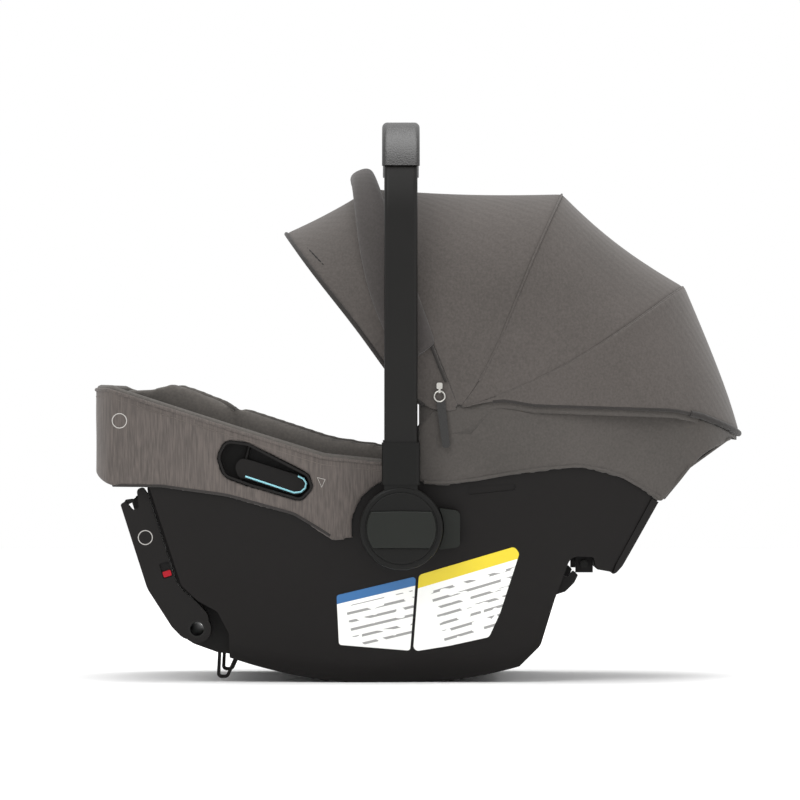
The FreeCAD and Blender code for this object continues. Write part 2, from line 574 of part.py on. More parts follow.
def make_hub_side(outer):
    """Socket, axle, handle hub, cap, button and spring of the right-hand side (+Y)."""
    parts = {}
    socket = rod(HUB_X, HUB_Z, HUB_RADIUS - 0.5, 120, HUB_INNER_Y - FIT).cut(outer)
    socket = largest(on_side(socket, 1)).cut(rod(HUB_X, HUB_Z, AXLE_RADIUS, 120, HUB_INNER_Y))
    parts["hub_socket"] = socket
    floor_y = HUB_INNER_Y + HUB_WEB
    shank = rod(HUB_X, HUB_Z, AXLE_RADIUS, 150, floor_y + FIT)
    head = rod(HUB_X, HUB_Z, AXLE_HEAD_RADIUS, floor_y + FIT, floor_y + FIT + AXLE_HEAD)
    nut = rod(HUB_X, HUB_Z, AXLE_RADIUS + 4, 150, 155)
    parts["hub_axle"] = shank.fuse([head, nut]).removeSplitter()

    outer_y = HUB_INNER_Y + HUB_THICKNESS
    hub = rod(HUB_X, HUB_Z, HUB_RADIUS, HUB_INNER_Y, outer_y)
    hub = hub.makeFillet(3, [e for e in hub.Edges if e.BoundBox.YMin > outer_y - 0.1])
    neck_mid = HUB_X - 0.5
    neck = box(neck_mid - ARM_WIDTH / 2, neck_mid + ARM_WIDTH / 2, HUB_INNER_Y, outer_y - 1,
               HUB_Z + 10, SLEEVE_BOTTOM + 2)
    sleeve = box(neck_mid - SLEEVE_WIDTH / 2, neck_mid + SLEEVE_WIDTH / 2, HUB_INNER_Y - SLEEVE_WALL,
                 HUB_INNER_Y + ARM_THICKNESS + SLEEVE_WALL, SLEEVE_BOTTOM, SLEEVE_TOP)
    sleeve = rounded(sleeve, 5, lambda e: e.BoundBox.ZLength > 30)
    hub = hub.fuse([neck, sleeve]).removeSplitter()
    hub = hub.cut(rod(HUB_X, HUB_Z, CAP_RADIUS + 0.2, floor_y, outer_y + 5))
    hub = hub.cut(rod(HUB_X, HUB_Z, AXLE_RADIUS + RUNNING, HUB_INNER_Y - 5, outer_y))
    parts["handle_hub"] = hub

    head_y = floor_y + FIT + AXLE_HEAD
    plate_y0, plate_y1 = head_y + SPRING_CLOSED + BUTTON_TRAVEL, outer_y + BUTTON_PROUD
    middle_z = HUB_Z - 2
    half = BUTTON_HEIGHT / 2
    reach = CAP_RADIUS - 1.4

    def band(grow):
        """The button's outline: a band across the cap, its ends following the rim."""
        low, high = middle_z - half - grow, middle_z + half + grow
        outline = [(HUB_X - 60, low, 0), (HUB_X + 60, low, 0), (HUB_X + 60, high, 0),
                   (HUB_X, high + 1.5, 400), (HUB_X - 60, high, 0)]
        slab = side_prism(outline, floor_y + 2, plate_y1)
        return slab.common(rod(HUB_X, HUB_Z, reach + grow, floor_y + 2, plate_y1))

    button = band(0).common(box(-200, 200, plate_y0, plate_y1, 0, 400))
    button = button.makeFillet(1.6, [e for e in button.Edges if e.BoundBox.YMin > plate_y1 - 0.1])
    parts["handle_button"] = button
    cap = rod(HUB_X, HUB_Z, CAP_RADIUS, plate_y0 - 2.5, outer_y + CAP_PROUD)
    cap = cap.makeFillet(1.2, [e for e in cap.Edges if e.BoundBox.YMin > outer_y + CAP_PROUD - 0.1])
    parts["hub_cap"] = cap.cut(band(0.35)).cut(rod(HUB_X, HUB_Z, AXLE_HEAD_RADIUS + 1.5, floor_y, plate_y0))

    first, last = head_y + 0.2 + SPRING_WIRE, plate_y0 - 0.2 - SPRING_WIRE
    pitch = (last - first) / SPRING_TURNS
    coils, struts = [], []
    for turn in range(SPRING_TURNS + 1):
        y = first + turn * pitch
        coils.append(Part.makeTorus(SPRING_RADIUS, SPRING_WIRE, Vector(HUB_X, y, HUB_Z), Vector(0, 1, 0)))
        if turn < SPRING_TURNS:
            for angle in (45 + 90 * turn, 225 + 90 * turn):
                x = HUB_X + SPRING_RADIUS * math.cos(math.radians(angle))
                z = HUB_Z + SPRING_RADIUS * math.sin(math.radians(angle))
                struts.append(rod(x, z, 0.8 * SPRING_WIRE, y, y + pitch))
    spring = coils[0].multiFuse(coils[1:] + struts)
    parts["button_spring"] = spring
    return parts


def handle_outline(inner_offset, outer_offset, bottom):
    """The handle seen from the foot end, between two offsets from its middle surface."""
    half = HUB_INNER_Y + ARM_THICKNESS / 2
    top = HANDLE_TOP - GRIP_SKIN - ARM_THICKNESS / 2
    corner = HANDLE_CORNER - ARM_THICKNESS / 2
    crown = 2.0
    shapes = []
    for offset, extra in ((outer_offset, 0.0), (inner_offset, 1.0)):
        y = half + offset
        z = top + offset
        low = bottom - extra
        shapes.append(front_prism([
            (-y, low, 0), (-y, z - crown, corner + offset), (0, z, 900), (y, z - crown, corner + offset),
            (y, low, 0)], -300, 300))
    return shapes[0].cut(shapes[1])


def make_handle():
    """The bent handle and the soft grip over its crossbar."""
    middle = HUB_X - 0.5
    half = ARM_THICKNESS / 2
    slab = box(middle - ARM_WIDTH / 2, middle + ARM_WIDTH / 2, -300, 300, 0, 700)
    tube = handle_outline(-half, half, SLEEVE_BOTTOM + 4).common(slab)
    tube = rounded(tube, 4.5, lambda e: e.BoundBox.XLength < 1e-3 and e.BoundBox.ZMax > SLEEVE_BOTTOM + 5)
    wide = ARM_WIDTH / 2 + GRIP_SKIN + 0.15
    slab = box(middle - wide, middle + wide, -300, 300, GRIP_BOTTOM, 700)
    grip = handle_outline(-half - GRIP_SKIN, half + GRIP_SKIN, SLEEVE_BOTTOM).common(slab)
    grip = rounded(grip, 5.5, lambda e: e.BoundBox.XLength < 1e-3 and e.BoundBox.ZMax > GRIP_BOTTOM + 1)
    return {"handle_tube": tube, "handle_grip": grip.cut(tube)}


# ---------------------------------------------------------------- canopy
def bow_plane_point(angle, reach, y):
    """A point at a reach from the canopy axis, at an angle above +X."""
    a = math.radians(angle)
    return Vector(PIVOT_X + reach * math.cos(a), y, PIVOT_Z + reach * math.sin(a))


def bow_path(angle, reach, half_width, corner, start):
    """Open U in a plane through the canopy axis: leg, round corner, top, round corner, leg."""
    points = [(-half_width, start, 0), (-half_width, reach, corner), (half_width, reach, corner),
              (half_width, start, 0)]
    edges = outline_edges(points, False, lambda y, r: bow_plane_point(angle, r, y))
    return Part.Wire(edges)


def skin_section(angle, reach, half_width, start):
    """Closed section of the canopy fabric at one angle."""
    points = []
    corner = CANOPY_CORNER
    inner = CANOPY_SKIN
    points += [(-half_width, start, 0), (-half_width, reach, corner), (half_width, reach, corner),
               (half_width, start, 0), (half_width - inner, start, 0),
               (half_width - inner, reach - inner, corner - inner),
               (-half_width + inner, reach - inner, corner - inner), (-half_width + inner, start, 0)]
    return Part.Wire(outline_edges(points, True, lambda y, r: bow_plane_point(angle, r, y)))


def fabric_panel(stations, gap=0.35):
    """Fabric between bows: a thin sheet through (angle, reach, half width) stations, with small end gaps."""
    first, last = stations[0], stations[-1]
    step = gap if last[0] > first[0] else -gap
    stations = [(first[0] + step,) + first[1:]] + list(stations[1:-1]) + [(last[0] - step,) + last[1:]]
    wires = [skin_section(angle, reach, half_width, 24.0) for angle, reach, half_width in stations]
    return Part.makeLoft(wires, True, False)


def chord_station(first, last, share, sag):
    """Point on the straight chord between two bows, pulled in by sag."""
    a0, a1 = math.radians(first[0]), math.radians(last[0])
    x = first[1] * math.cos(a0) * (1 - share) + last[1] * math.cos(a1) * share
    z = first[1] * math.sin(a0) * (1 - share) + last[1] * math.sin(a1) * share
    return math.degrees(math.atan2(z, x)), math.hypot(x, z) - sag


def canopy_bow(bow, order):
    """One bow: bent rod, two eye plates on the pivot pins and the steps that join them."""
    angle, reach = bow
    inset = CANOPY_SKIN + BOW_GAP + BOW_RADIUS
    half_width = CANOPY_HALF_WIDTH - inset
    path = bow_path(angle, reach - inset, half_width, CANOPY_CORNER - inset, LINK_INNER + 2)
    start = path.Edges[0].valueAt(path.Edges[0].FirstParameter)
    direction = path.Edges[0].tangentAt(path.Edges[0].FirstParameter)
    circle = Part.Wire(Part.makeCircle(BOW_RADIUS, start, direction))
    pieces = [path.makePipeShell([circle], True, True)]
    eye_y = EYE_FIRST_Y + order * EYE_PITCH
    for side in (-1, 1):
        y0, y1 = sorted((side * eye_y, side * (eye_y + EYE_PLATE)))
        plate = rod(PIVOT_X, PIVOT_Z, EYE_RADIUS, y0, y1)
        arm = box(PIVOT_X, PIVOT_X + LINK_OUTER, y0, y1, PIVOT_Z - LINK_WIDTH / 2, PIVOT_Z + LINK_WIDTH / 2)
        s0, s1 = sorted((side * eye_y, side * half_width))
        step = box(PIVOT_X + LINK_INNER, PIVOT_X + LINK_OUTER, s0, s1,
                   PIVOT_Z - LINK_WIDTH / 2, PIVOT_Z + LINK_WIDTH / 2)
        lever = turned(arm.fuse(step), PIVOT_X, PIVOT_Z, angle)
        pieces += [plate, lever]
    frame = pieces[0].fuse(pieces[1:]).removeSplitter()
    return frame.cut(rod(PIVOT_X, PIVOT_Z, PIVOT_PIN + RUNNING, -200, 200))


def make_canopy(inner):
    """Pivots, four bows, fabric panels, padded band and zip."""
    parts = {}
    pivots = []
    pin_root = EYE_FIRST_Y - 3
    bracket_y = EYE_FIRST_Y + 4 * EYE_PITCH + 2
    bracket = box(PIVOT_X - 15, PIVOT_X + 15, bracket_y, TUB_HALF_WIDTH, PIVOT_Z - 30, PIVOT_Z + 11)
    bracket = largest(bracket.common(inner))
    pin = rod(PIVOT_X, PIVOT_Z, PIVOT_PIN, pin_root, bracket_y + 1)
    stop = rod(PIVOT_X, PIVOT_Z, PIVOT_PIN + 3, pin_root - 2, pin_root)
    right = bracket.fuse([pin, stop]).removeSplitter()
    parts["canopy_pivots"] = Part.makeCompound([mirrored(right), right])

    bows = (("rear", REAR_BOW), ("mid", MID_BOW), ("front", FRONT_BOW), ("visor", VISOR_BOW))
    for order, (name, bow) in enumerate(bows):
        parts["canopy_%s_bow" % name] = canopy_bow(bow, order)

    wide = CANOPY_HALF_WIDTH
    tail = [REAR_BOW + (wide,)]
    tail += [(angle, reach, wide - drawn) for angle, reach, drawn in TAIL]
    tail = fabric_panel(tail)
    parts["canopy_tail_panel"] = largest(tail.common(above(CANOPY_HEM)))
    for name, first, last, sag in (("rear", REAR_BOW, MID_BOW, 5), ("mid", MID_BOW, FRONT_BOW, 1),
                                   ("visor", FRONT_BOW, VISOR_BOW, 1)):
        middle = chord_station(first, last, 0.5, sag)
        stations = [station + (wide,) for station in (first, middle, last)]
        panel = fabric_panel(stations)
        parts["canopy_%s_panel" % name] = largest(panel.common(above(CANOPY_HEM)))

    angle, reach = FRONT_BOW
    half_width = wide - BAND_SIDE_INSET
    centre = reach + BOW_RADIUS + 1
    path = bow_path(angle, centre, half_width, CANOPY_CORNER, BAND_START)
    start = path.Edges[0].valueAt(path.Edges[0].FirstParameter)
    direction = path.Edges[0].tangentAt(path.Edges[0].FirstParameter)
    roll = path.makePipeShell([Part.Wire(Part.makeCircle(BAND_RADIUS, start, direction))], True, True)
    keep_out = fabric_panel([(angle + turn, reach, wide) for turn in (-12, 0, 12)], 0)
    hollow = keep_out.fuse(parts["canopy_front_bow"])
    parts["canopy_band"] = largest(roll.cut(hollow).cut(inside_canopy(angle, reach)))
    parts.update(make_zip())
    return parts


def inside_canopy(angle, reach):
    """The space under the front bow's fabric, which the padded band leaves free."""
    half_width = CANOPY_HALF_WIDTH - CANOPY_SKIN
    top = reach - CANOPY_SKIN
    outline = [(-half_width, 20, 0), (-half_width, top, CANOPY_CORNER), (half_width, top, CANOPY_CORNER),
               (half_width, 20, 0)]
    wires = []
    for turn in (-14, 14):
        edges = outline_edges(outline, True, lambda y, r, t=turn: bow_plane_point(angle + t, r, y))
        wires.append(Part.Wire(edges))
    return Part.makeLoft(wires, True, False)


def make_zip():
    """Slider, ring and pull tab on the left side of the canopy."""
    face = -CANOPY_HALF_WIDTH
    ring_at = Vector(ZIP_X, face - 1.5, ZIP_Z - 9)
    ring = Part.makeTorus(ZIP_RING, ZIP_RING_WIRE, ring_at, Vector(0, 1, 0))
    eye_z = ring_at.z + ZIP_RING
    slider = box(ZIP_X - 3, ZIP_X + 3, face - 2.6, face, eye_z + ZIP_CLEAR, ZIP_Z + 5)
    slider = rounded(slider, 1.6, lambda e: e.BoundBox.YLength > 2)
    lug = box(ZIP_X - 1, ZIP_X + 1, face - 3, face, eye_z - 2, eye_z + ZIP_CLEAR + 2)
    eye = Part.makeCylinder(ZIP_RING_WIRE + 0.15, 8, Vector(ZIP_X - 4, ring_at.y, eye_z), Vector(1, 0, 0))
    slider = slider.fuse(lug).cut(eye)
    tab = side_prism(((-4.5, 0, 2.5), (4.5, 0, 2.5), (4, -51, 3.5), (-4, -51, 3.5)), -0.8, 0.8)
    tab = tab.cut(rod(0, -3.2, 1.3, -2, 2))
    tab = turned(tab, 0, 0, 7)
    tab.translate(ring_at + Vector(0.8, 0, -2.0))
    tab = tab.cut(Part.makeTorus(ZIP_RING, ZIP_RING_WIRE + RUNNING, ring_at, Vector(0, 1, 0)))
    return {"zip_slider": slider, "zip_ring": ring, "zip_pull_tab": largest(tab)}


# ---------------------------------------------------------------- folding anchor arms
def in_arm(shape):
    """Place a piece modelled along +X from the origin on the folded arm."""
    copy = turned(shape, 0, 0, LATCH_REST)
    copy.translate(Vector(LATCH_X, 0, LATCH_Z))
    return copy


def make_latch_arm(side):
    """Arm housing, hook and release slider of one side; side is -1 (left) or +1 (right)."""
    middle = side * LATCH_Y
    y0, y1 = middle - LATCH_THICK / 2, middle + LATCH_THICK / 2
    arm = side_prism(LATCH_ARM, y0, y1).fuse(rod(0, 0, LATCH_ROOT, y0, y1)).removeSplitter()
    arm = arm.cut(rod(0, 0, TUBE_RADIUS, y0, y1))
    gap = HOOK_THICK / 2 + FIT
    arm = arm.cut(side_prism(HOOK_BAY, middle - gap, middle + gap))
    arm = arm.fuse(rod(HOOK_U, HOOK_V, HOOK_PIN, y0 + 2, y1 - 2)).removeSplitter()
    hook = side_prism(LATCH_HOOK, middle - HOOK_THICK / 2, middle + HOOK_THICK / 2)
    hook = hook.cut(rod(HOOK_U, HOOK_V, HOOK_PIN + RUNNING, y0, y1))

    face = middle + side * LATCH_THICK / 2
    floor = face - side * 5.0
    arm = arm.cut(side_prism(SLIDER_RECESS, *sorted((face, floor))))
    slider = side_prism(SLIDER, *sorted((face + side * 0.8, floor + side * FIT)))
    return in_arm(arm), in_arm(hook), in_arm(slider)


def make_latches(outer):
    """Cross tube, both anchor arms with hooks and sliders, and the brackets they turn in."""
    parts = {}
    for side, name in ((-1, "left"), (1, "right")):
        arm, hook, slider = make_latch_arm(side)
        parts["latch_arm_%s" % name] = arm
        parts["latch_hook_%s" % name] = hook
        parts["latch_slider_%s" % name] = slider
    half = LATCH_Y + LATCH_THICK / 2
    tube = rod(LATCH_X, LATCH_Z, TUBE_RADIUS, -half, half)
    parts["latch_cross_tube"] = tube.cut(rod(LATCH_X, LATCH_Z, TUBE_RADIUS - TUBE_WALL, -half, half))
    brackets = []
    for low in (-118, 106):
        bracket = side_prism(LATCH_BRACKET, low, low + 12).cut(outer)
        bracket = bracket.cut(rod(LATCH_X, LATCH_Z, TUBE_RADIUS + RUNNING, low, low + 12))
        brackets.append(largest(bracket))
    parts["latch_brackets"] = Part.makeCompound(brackets)
    return parts


# ---------------------------------------------------------------- small parts of the tub
def lever_pin(pin_y, radius):
    """Pin of a release lever: square to the lever and flat to the tub's side."""
    tilt = math.radians(LEVER_TILT)
    along = Vector(math.sin(tilt), 0, math.cos(tilt))
    foot = Vector(LEVER_PIN_X, pin_y, LEVER_PIN_Z) - along * 30
    return Part.makeCylinder(radius, 60, foot, along)


def make_fittings(outer):
    """Release pockets and levers, foot loops, belt hooks, dock bar and screws."""
    parts = {}
    pocket_floor = LEVER_INNER_Y - 6
    for side, name in ((-1, "left"), (1, "right")):
        y0, y1 = sorted((side * pocket_floor, side * 230))
        f0, f1 = sorted((side * (pocket_floor + 2.5), side * 230))
        cup = side_prism(POCKET, y0, y1).common(tub_volume(-FIT - WRAP - 1.2))
        cup = cup.cut(side_prism(offset_outline(POCKET, 2.4), f0, f1))
        pin_y = side * (LEVER_INNER_Y + LEVER_OUTER_Y) / 2
        room = side_prism(offset_outline(POCKET, 1.2), -300, 300)
        cup = cup.fuse(lever_pin(pin_y, LEVER_PIN).common(room)).removeSplitter()
        parts["release_pocket_%s" % name] = cup
        lever = side_prism(LEVER, *sorted((side * LEVER_INNER_Y, side * LEVER_OUTER_Y)))
        parts["release_lever_%s" % name] = lever.cut(lever_pin(pin_y, LEVER_PIN + RUNNING))
        parts["stroller_button_%s" % name] = stroller_button_blank(side, 0)

    loops = []
    teardrop = ((-206.5, 34, 2), (-208, 2.6, 5), (-196, 2.6, 6), (-182, 34, 2))
    for low in (-104, 94):
        hollow = side_prism(offset_outline(teardrop, 3.4), low, low + 10)
        ring = side_prism(teardrop, low, low + 10).cut(hollow)
        loops.append(largest(ring.cut(outer)))
    parts["front_foot_loops"] = Part.makeCompound(loops)

    hook_outline = ((140, 89, 0), (152, 93, 4), (161, 102, 5), (165, 110, 1.5), (160.5, 114.5, 1.5),
                    (154, 108, 3), (146, 110, 0), (140, 106, 0))
    hooks = [largest(side_prism(hook_outline, low, low + 26).cut(outer)) for low in (-132, 106)]
    parts["dock_bar"] = rod(DOCK_X, DOCK_Z, DOCK_RADIUS, -112, 112)
    ears = [box(163, 181, low, low + 7, 112, 135).cut(outer) for low in (-106, 99)]
    ears = [largest(ear.cut(rod(DOCK_X, DOCK_Z, DOCK_RADIUS, -200, 200))) for ear in ears]
    parts["rear_brackets"] = Part.makeCompound(hooks + ears)

    screws = []
    for x, y in ((-100, 70), (-100, -70), (60, 70), (60, -70)):
        z = ROCKER_RADIUS - ROCKER_FLAT - math.sqrt(ROCKER_RADIUS ** 2 - (x - ROCKER_X) ** 2)
        screws.append(Part.makeCylinder(FASTENER_RADIUS, 14, Vector(x, y, max(z, 0) + 2.2)))
    parts["shell_screws"] = Part.makeCompound(screws)
    return parts


def build():
    """Every sub-part by node name."""
    outer = tub_volume(0)
    inner = tub_volume(WALL)
    nodes = make_tub_parts(outer, inner)
    nodes.update(make_covers(outer))
    nodes.update(make_straps())
    nodes.update(make_buckle())
    nodes.update(make_adjuster())
    nodes.update(make_handle())
    for name, shape in make_hub_side(outer).items():
        if name in ("handle_hub", "handle_button"):
            nodes[name + "_right"] = shape
            nodes[name + "_left"] = mirrored(shape)
        else:
            nodes[name + "s"] = Part.makeCompound([mirrored(shape), shape])
    tube = nodes["handle_tube"]
    for name in ("handle_hub_left", "handle_hub_right"):
        nodes[name] = largest(nodes[name].cut(tube))
    nodes.update(make_canopy(inner))
    nodes.update(make_latches(outer))
    nodes.update(make_fittings(outer))
    screws = nodes["shell_screws"]
    nodes["shell_tub"] = largest(nodes["shell_tub"].cut(screws))
    return nodes


os.makedirs("parts", exist_ok=True)
for node, shape in build().items():
    if not shape.isValid():
        print("not valid:", node)
    shape.exportStep("parts/%s.step" % node)
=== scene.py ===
"""Looks of the infant car seat: fabric, padding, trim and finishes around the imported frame."""

import json
import logging
import math
from dataclasses import dataclass, field
from enum import Enum
from typing import Callable, Iterable, Sequence

import bmesh
import bpy
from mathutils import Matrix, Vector, noise
from mathutils.bvhtree import BVHTree


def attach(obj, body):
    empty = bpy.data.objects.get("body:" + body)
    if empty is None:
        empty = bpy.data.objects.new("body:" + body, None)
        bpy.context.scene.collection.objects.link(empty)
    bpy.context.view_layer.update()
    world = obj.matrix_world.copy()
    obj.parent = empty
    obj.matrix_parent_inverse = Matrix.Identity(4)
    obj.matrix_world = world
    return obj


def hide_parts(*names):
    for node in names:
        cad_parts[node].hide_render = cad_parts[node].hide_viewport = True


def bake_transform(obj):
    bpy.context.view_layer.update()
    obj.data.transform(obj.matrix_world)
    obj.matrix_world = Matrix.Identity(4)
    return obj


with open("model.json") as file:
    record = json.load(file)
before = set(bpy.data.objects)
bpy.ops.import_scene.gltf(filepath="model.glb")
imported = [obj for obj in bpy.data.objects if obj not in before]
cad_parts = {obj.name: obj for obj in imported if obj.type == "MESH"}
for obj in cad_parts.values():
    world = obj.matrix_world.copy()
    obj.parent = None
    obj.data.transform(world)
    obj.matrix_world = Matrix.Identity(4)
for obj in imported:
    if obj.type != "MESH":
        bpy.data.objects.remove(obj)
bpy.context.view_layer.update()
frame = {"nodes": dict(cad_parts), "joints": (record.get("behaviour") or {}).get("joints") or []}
LOG = logging.getLogger("infant_car_seat")
MM = 0.001


class Side(Enum):
    """The two sides of the seat."""

    LEFT = -1
    RIGHT = 1


# ---------------------------------------------------------------- colour and shader helpers
def linear(hex_colour: str) -> tuple[float, float, float, float]:
    """Turn an sRGB hex colour into the linear values that shaders take.

    Args:
        hex_colour: six hex digits, such as "6A625D".

    Returns:
        Linear red, green, blue and an alpha of one.
    """
    channels = [int(hex_colour[i:i + 2], 16) / 255 for i in (0, 2, 4)]
    made = [c / 12.92 if c <= 0.04045 else ((c + 0.055) / 1.055) ** 2.4 for c in channels]
    return (made[0], made[1], made[2], 1.0)


def add_node(tree: bpy.types.NodeTree, kind: str, inputs: dict | None = None, **settings) -> bpy.types.Node:
    """Add one shader node, set its options and fill or link its inputs.

    Args:
        tree: the material's node tree.
        kind: the node's type name.
        inputs: input name or index to a value or to another node's output socket.
        **settings: properties of the node itself.

    Returns:
        The new node.
    """
    made = tree.nodes.new(kind)
    for key, value in settings.items():
        setattr(made, key, value)
    for key, value in (inputs or {}).items():
        if isinstance(value, bpy.types.NodeSocket):
            tree.links.new(value, made.inputs[key])
        else:
            made.inputs[key].default_value = value
    return made


def start_material(name: str) -> tuple[bpy.types.Material, bpy.types.NodeTree, bpy.types.Node]:
    """Make an empty node material with its principled shader and output.

    Args:
        name: the material's name.

    Returns:
        The material, its node tree and its principled shader.
    """
    material = bpy.data.materials.new(name)
    material.use_nodes = True
    tree = material.node_tree
    tree.nodes.clear()
    shader = add_node(tree, "ShaderNodeBsdfPrincipled")
    add_node(tree, "ShaderNodeOutputMaterial", {"Surface": shader.outputs["BSDF"]})
    return material, tree, shader


def scaled_place(tree: bpy.types.NodeTree, scale: Sequence[float]) -> bpy.types.NodeSocket:
    """Object coordinates, stretched along the axes.

    Args:
        tree: the material's node tree.
        scale: how many pattern units a metre holds along X, Y and Z.

    Returns:
        The socket that holds the coordinates.
    """
    place = add_node(tree, "ShaderNodeTexCoord")
    mapping = add_node(tree, "ShaderNodeMapping", {"Vector": place.outputs["Object"], "Scale": scale})
    return mapping.outputs["Vector"]


def mixed(tree: bpy.types.NodeTree, share: bpy.types.NodeSocket, low: str, high: str) -> bpy.types.NodeSocket:
    """A colour that runs from low to high as share goes from zero to one.

    Args:
        tree: the material's node tree.
        share: socket with the share.
        low: hex colour at zero.
        high: hex colour at one.

    Returns:
        The socket that holds the colour.
    """
    ramp = add_node(tree, "ShaderNodeValToRGB", {"Fac": share})
    ramp.color_ramp.elements[0].color = linear(low)
    ramp.color_ramp.elements[1].color = linear(high)
    return ramp.outputs["Color"]


# ---------------------------------------------------------------- finishes
@dataclass(frozen=True)
class WovenCloth:
    """Woven or knitted polyester: matt, with a fine thread relief and a soft edge sheen.

    The thread pitch is drawn a little coarser than the real one, so that it shows.
    """

    name: str
    dark: str
    light: str
    thread_mm: float = 1.4
    streak_mm: float = 1.4
    contrast: float = 0.5
    relief: float = 0.25
    sheen: float = 0.12

    def make(self) -> bpy.types.Material:
        """Build the cloth's material."""
        material, tree, shader = start_material(self.name)
        fine = 1000 / self.thread_mm
        long_way = 1000 / self.streak_mm
        fleck = add_node(tree, "ShaderNodeTexNoise", {
            "Vector": scaled_place(tree, (fine, fine, long_way)), "Scale": 0.55, "Detail": 2.0, "Roughness": 0.6})
        cloud = add_node(tree, "ShaderNodeTexNoise", {
            "Vector": scaled_place(tree, (9.0, 9.0, 9.0)), "Scale": 1.0, "Detail": 3.0, "Roughness": 0.5})
        threads = add_node(tree, "ShaderNodeMath", {
            0: fleck.outputs["Fac"], 1: self.contrast}, operation="MULTIPLY")
        shade = add_node(tree, "ShaderNodeMath", {
            0: cloud.outputs["Fac"], 1: 1.0 - self.contrast}, operation="MULTIPLY")
        share = add_node(tree, "ShaderNodeMath", {0: threads.outputs[0], 1: shade.outputs[0]}, operation="ADD")
        stretch = add_node(tree, "ShaderNodeMapRange", {
            "Value": share.outputs[0], "From Min": 0.36, "From Max": 0.64})
        tree.links.new(mixed(tree, stretch.outputs["Result"], self.dark, self.light), shader.inputs["Base Color"])
        warp = add_node(tree, "ShaderNodeTexWave", {
            "Vector": scaled_place(tree, (1.0, 1.0, 1.0)), "Scale": 50 / self.thread_mm / math.pi * 3.1,
            "Distortion": 0.6, "Detail": 1.0}, wave_type="BANDS", bands_direction="DIAGONAL")
        height = add_node(tree, "ShaderNodeMath", {
            0: warp.outputs["Fac"], 1: fleck.outputs["Fac"]}, operation="ADD")
        bump = add_node(tree, "ShaderNodeBump", {
            "Height": height.outputs[0], "Strength": self.relief, "Distance": 0.0005})
        tree.links.new(bump.outputs["Normal"], shader.inputs["Normal"])
        shader.inputs["Roughness"].default_value = 0.92
        shader.inputs["Specular IOR Level"].default_value = 0.25
        shader.inputs["Sheen Weight"].default_value = self.sheen
        shader.inputs["Sheen Roughness"].default_value = 0.5
        return material


@dataclass(frozen=True)
class MouldedPlastic:
    """Injection-moulded polypropylene or nylon with a spark-eroded grain."""

    name: str
    colour: str
    worn: str
    roughness: float = 0.5
    grain_mm: float = 0.8
    relief: float = 0.12
    shine: float = 0.17

    def make(self) -> bpy.types.Material:
        """Build the plastic's material."""
        material, tree, shader = start_material(self.name)
        grain = add_node(tree, "ShaderNodeTexNoise", {
            "Vector": scaled_place(tree, (1.0, 1.0, 1.0)), "Scale": 1000 / self.grain_mm, "Detail": 2.0})
        cloud = add_node(tree, "ShaderNodeTexNoise", {
            "Vector": scaled_place(tree, (1.0, 1.0, 1.0)), "Scale": 14.0, "Detail": 4.0, "Roughness": 0.6})
        colour = mixed(tree, cloud.outputs["Fac"], self.colour, self.worn)
        tree.links.new(colour, shader.inputs["Base Color"])
        rough = add_node(tree, "ShaderNodeMapRange", {
            "Value": cloud.outputs["Fac"], "From Min": 0.3, "From Max": 0.7,
            "To Min": self.roughness - 0.06, "To Max": self.roughness + 0.08})
        tree.links.new(rough.outputs["Result"], shader.inputs["Roughness"])
        bump = add_node(tree, "ShaderNodeBump", {
            "Height": grain.outputs["Fac"], "Strength": self.relief, "Distance": 0.0003})
        tree.links.new(bump.outputs["Normal"], shader.inputs["Normal"])
        shader.inputs["Specular IOR Level"].default_value = self.shine
        return material


@dataclass(frozen=True)
class Leatherette:
    """Coated cloth with an embossed pebble grain, as wrapped round a carry handle, with painted shade darkening
    the crevices between the pebbles.
    """

    name: str
    colour: str
    # crease: colour of the painted shade in the crevices between the pebbles
    crease: str
    roughness: float = 0.42
    pebble_mm: float = 1.6

    def make(self) -> bpy.types.Material:
        """Build the leatherette's material."""
        material, tree, shader = start_material(self.name)
        pebble = add_node(tree, "ShaderNodeTexVoronoi", {
            "Vector": scaled_place(tree, (1.0, 1.0, 1.0)), "Scale": 1000 / self.pebble_mm}, feature="F1")
        # painted shade: the colour darkens from each pebble's middle towards the crease colour at its edges
        colour = mixed(tree, pebble.outputs["Distance"], self.colour, self.crease)
        tree.links.new(colour, shader.inputs["Base Color"])
        bump = add_node(tree, "ShaderNodeBump", {
            "Height": pebble.outputs["Distance"], "Strength": 0.35, "Distance": 0.0006}, invert=True)
        tree.links.new(bump.outputs["Normal"], shader.inputs["Normal"])
        shader.inputs["Roughness"].default_value = self.roughness
        return material


@dataclass(frozen=True)
class Metal:
    """Drawn or cast metal with faint lengthwise draw marks."""

    name: str
    colour: str
    roughness: float = 0.3

    def make(self) -> bpy.types.Material:
        """Build the metal's material."""
        material, tree, shader = start_material(self.name)
        marks = add_node(tree, "ShaderNodeTexNoise", {
            "Vector": scaled_place(tree, (60.0, 900.0, 900.0)), "Scale": 1.0, "Detail": 3.0})
        rough = add_node(tree, "ShaderNodeMapRange", {
            "Value": marks.outputs["Fac"], "To Min": self.roughness - 0.1, "To Max": self.roughness + 0.15})
        tree.links.new(rough.outputs["Result"], shader.inputs["Roughness"])
        shader.inputs["Base Color"].default_value = linear(self.colour)
        shader.inputs["Metallic"].default_value = 1.0
        return material


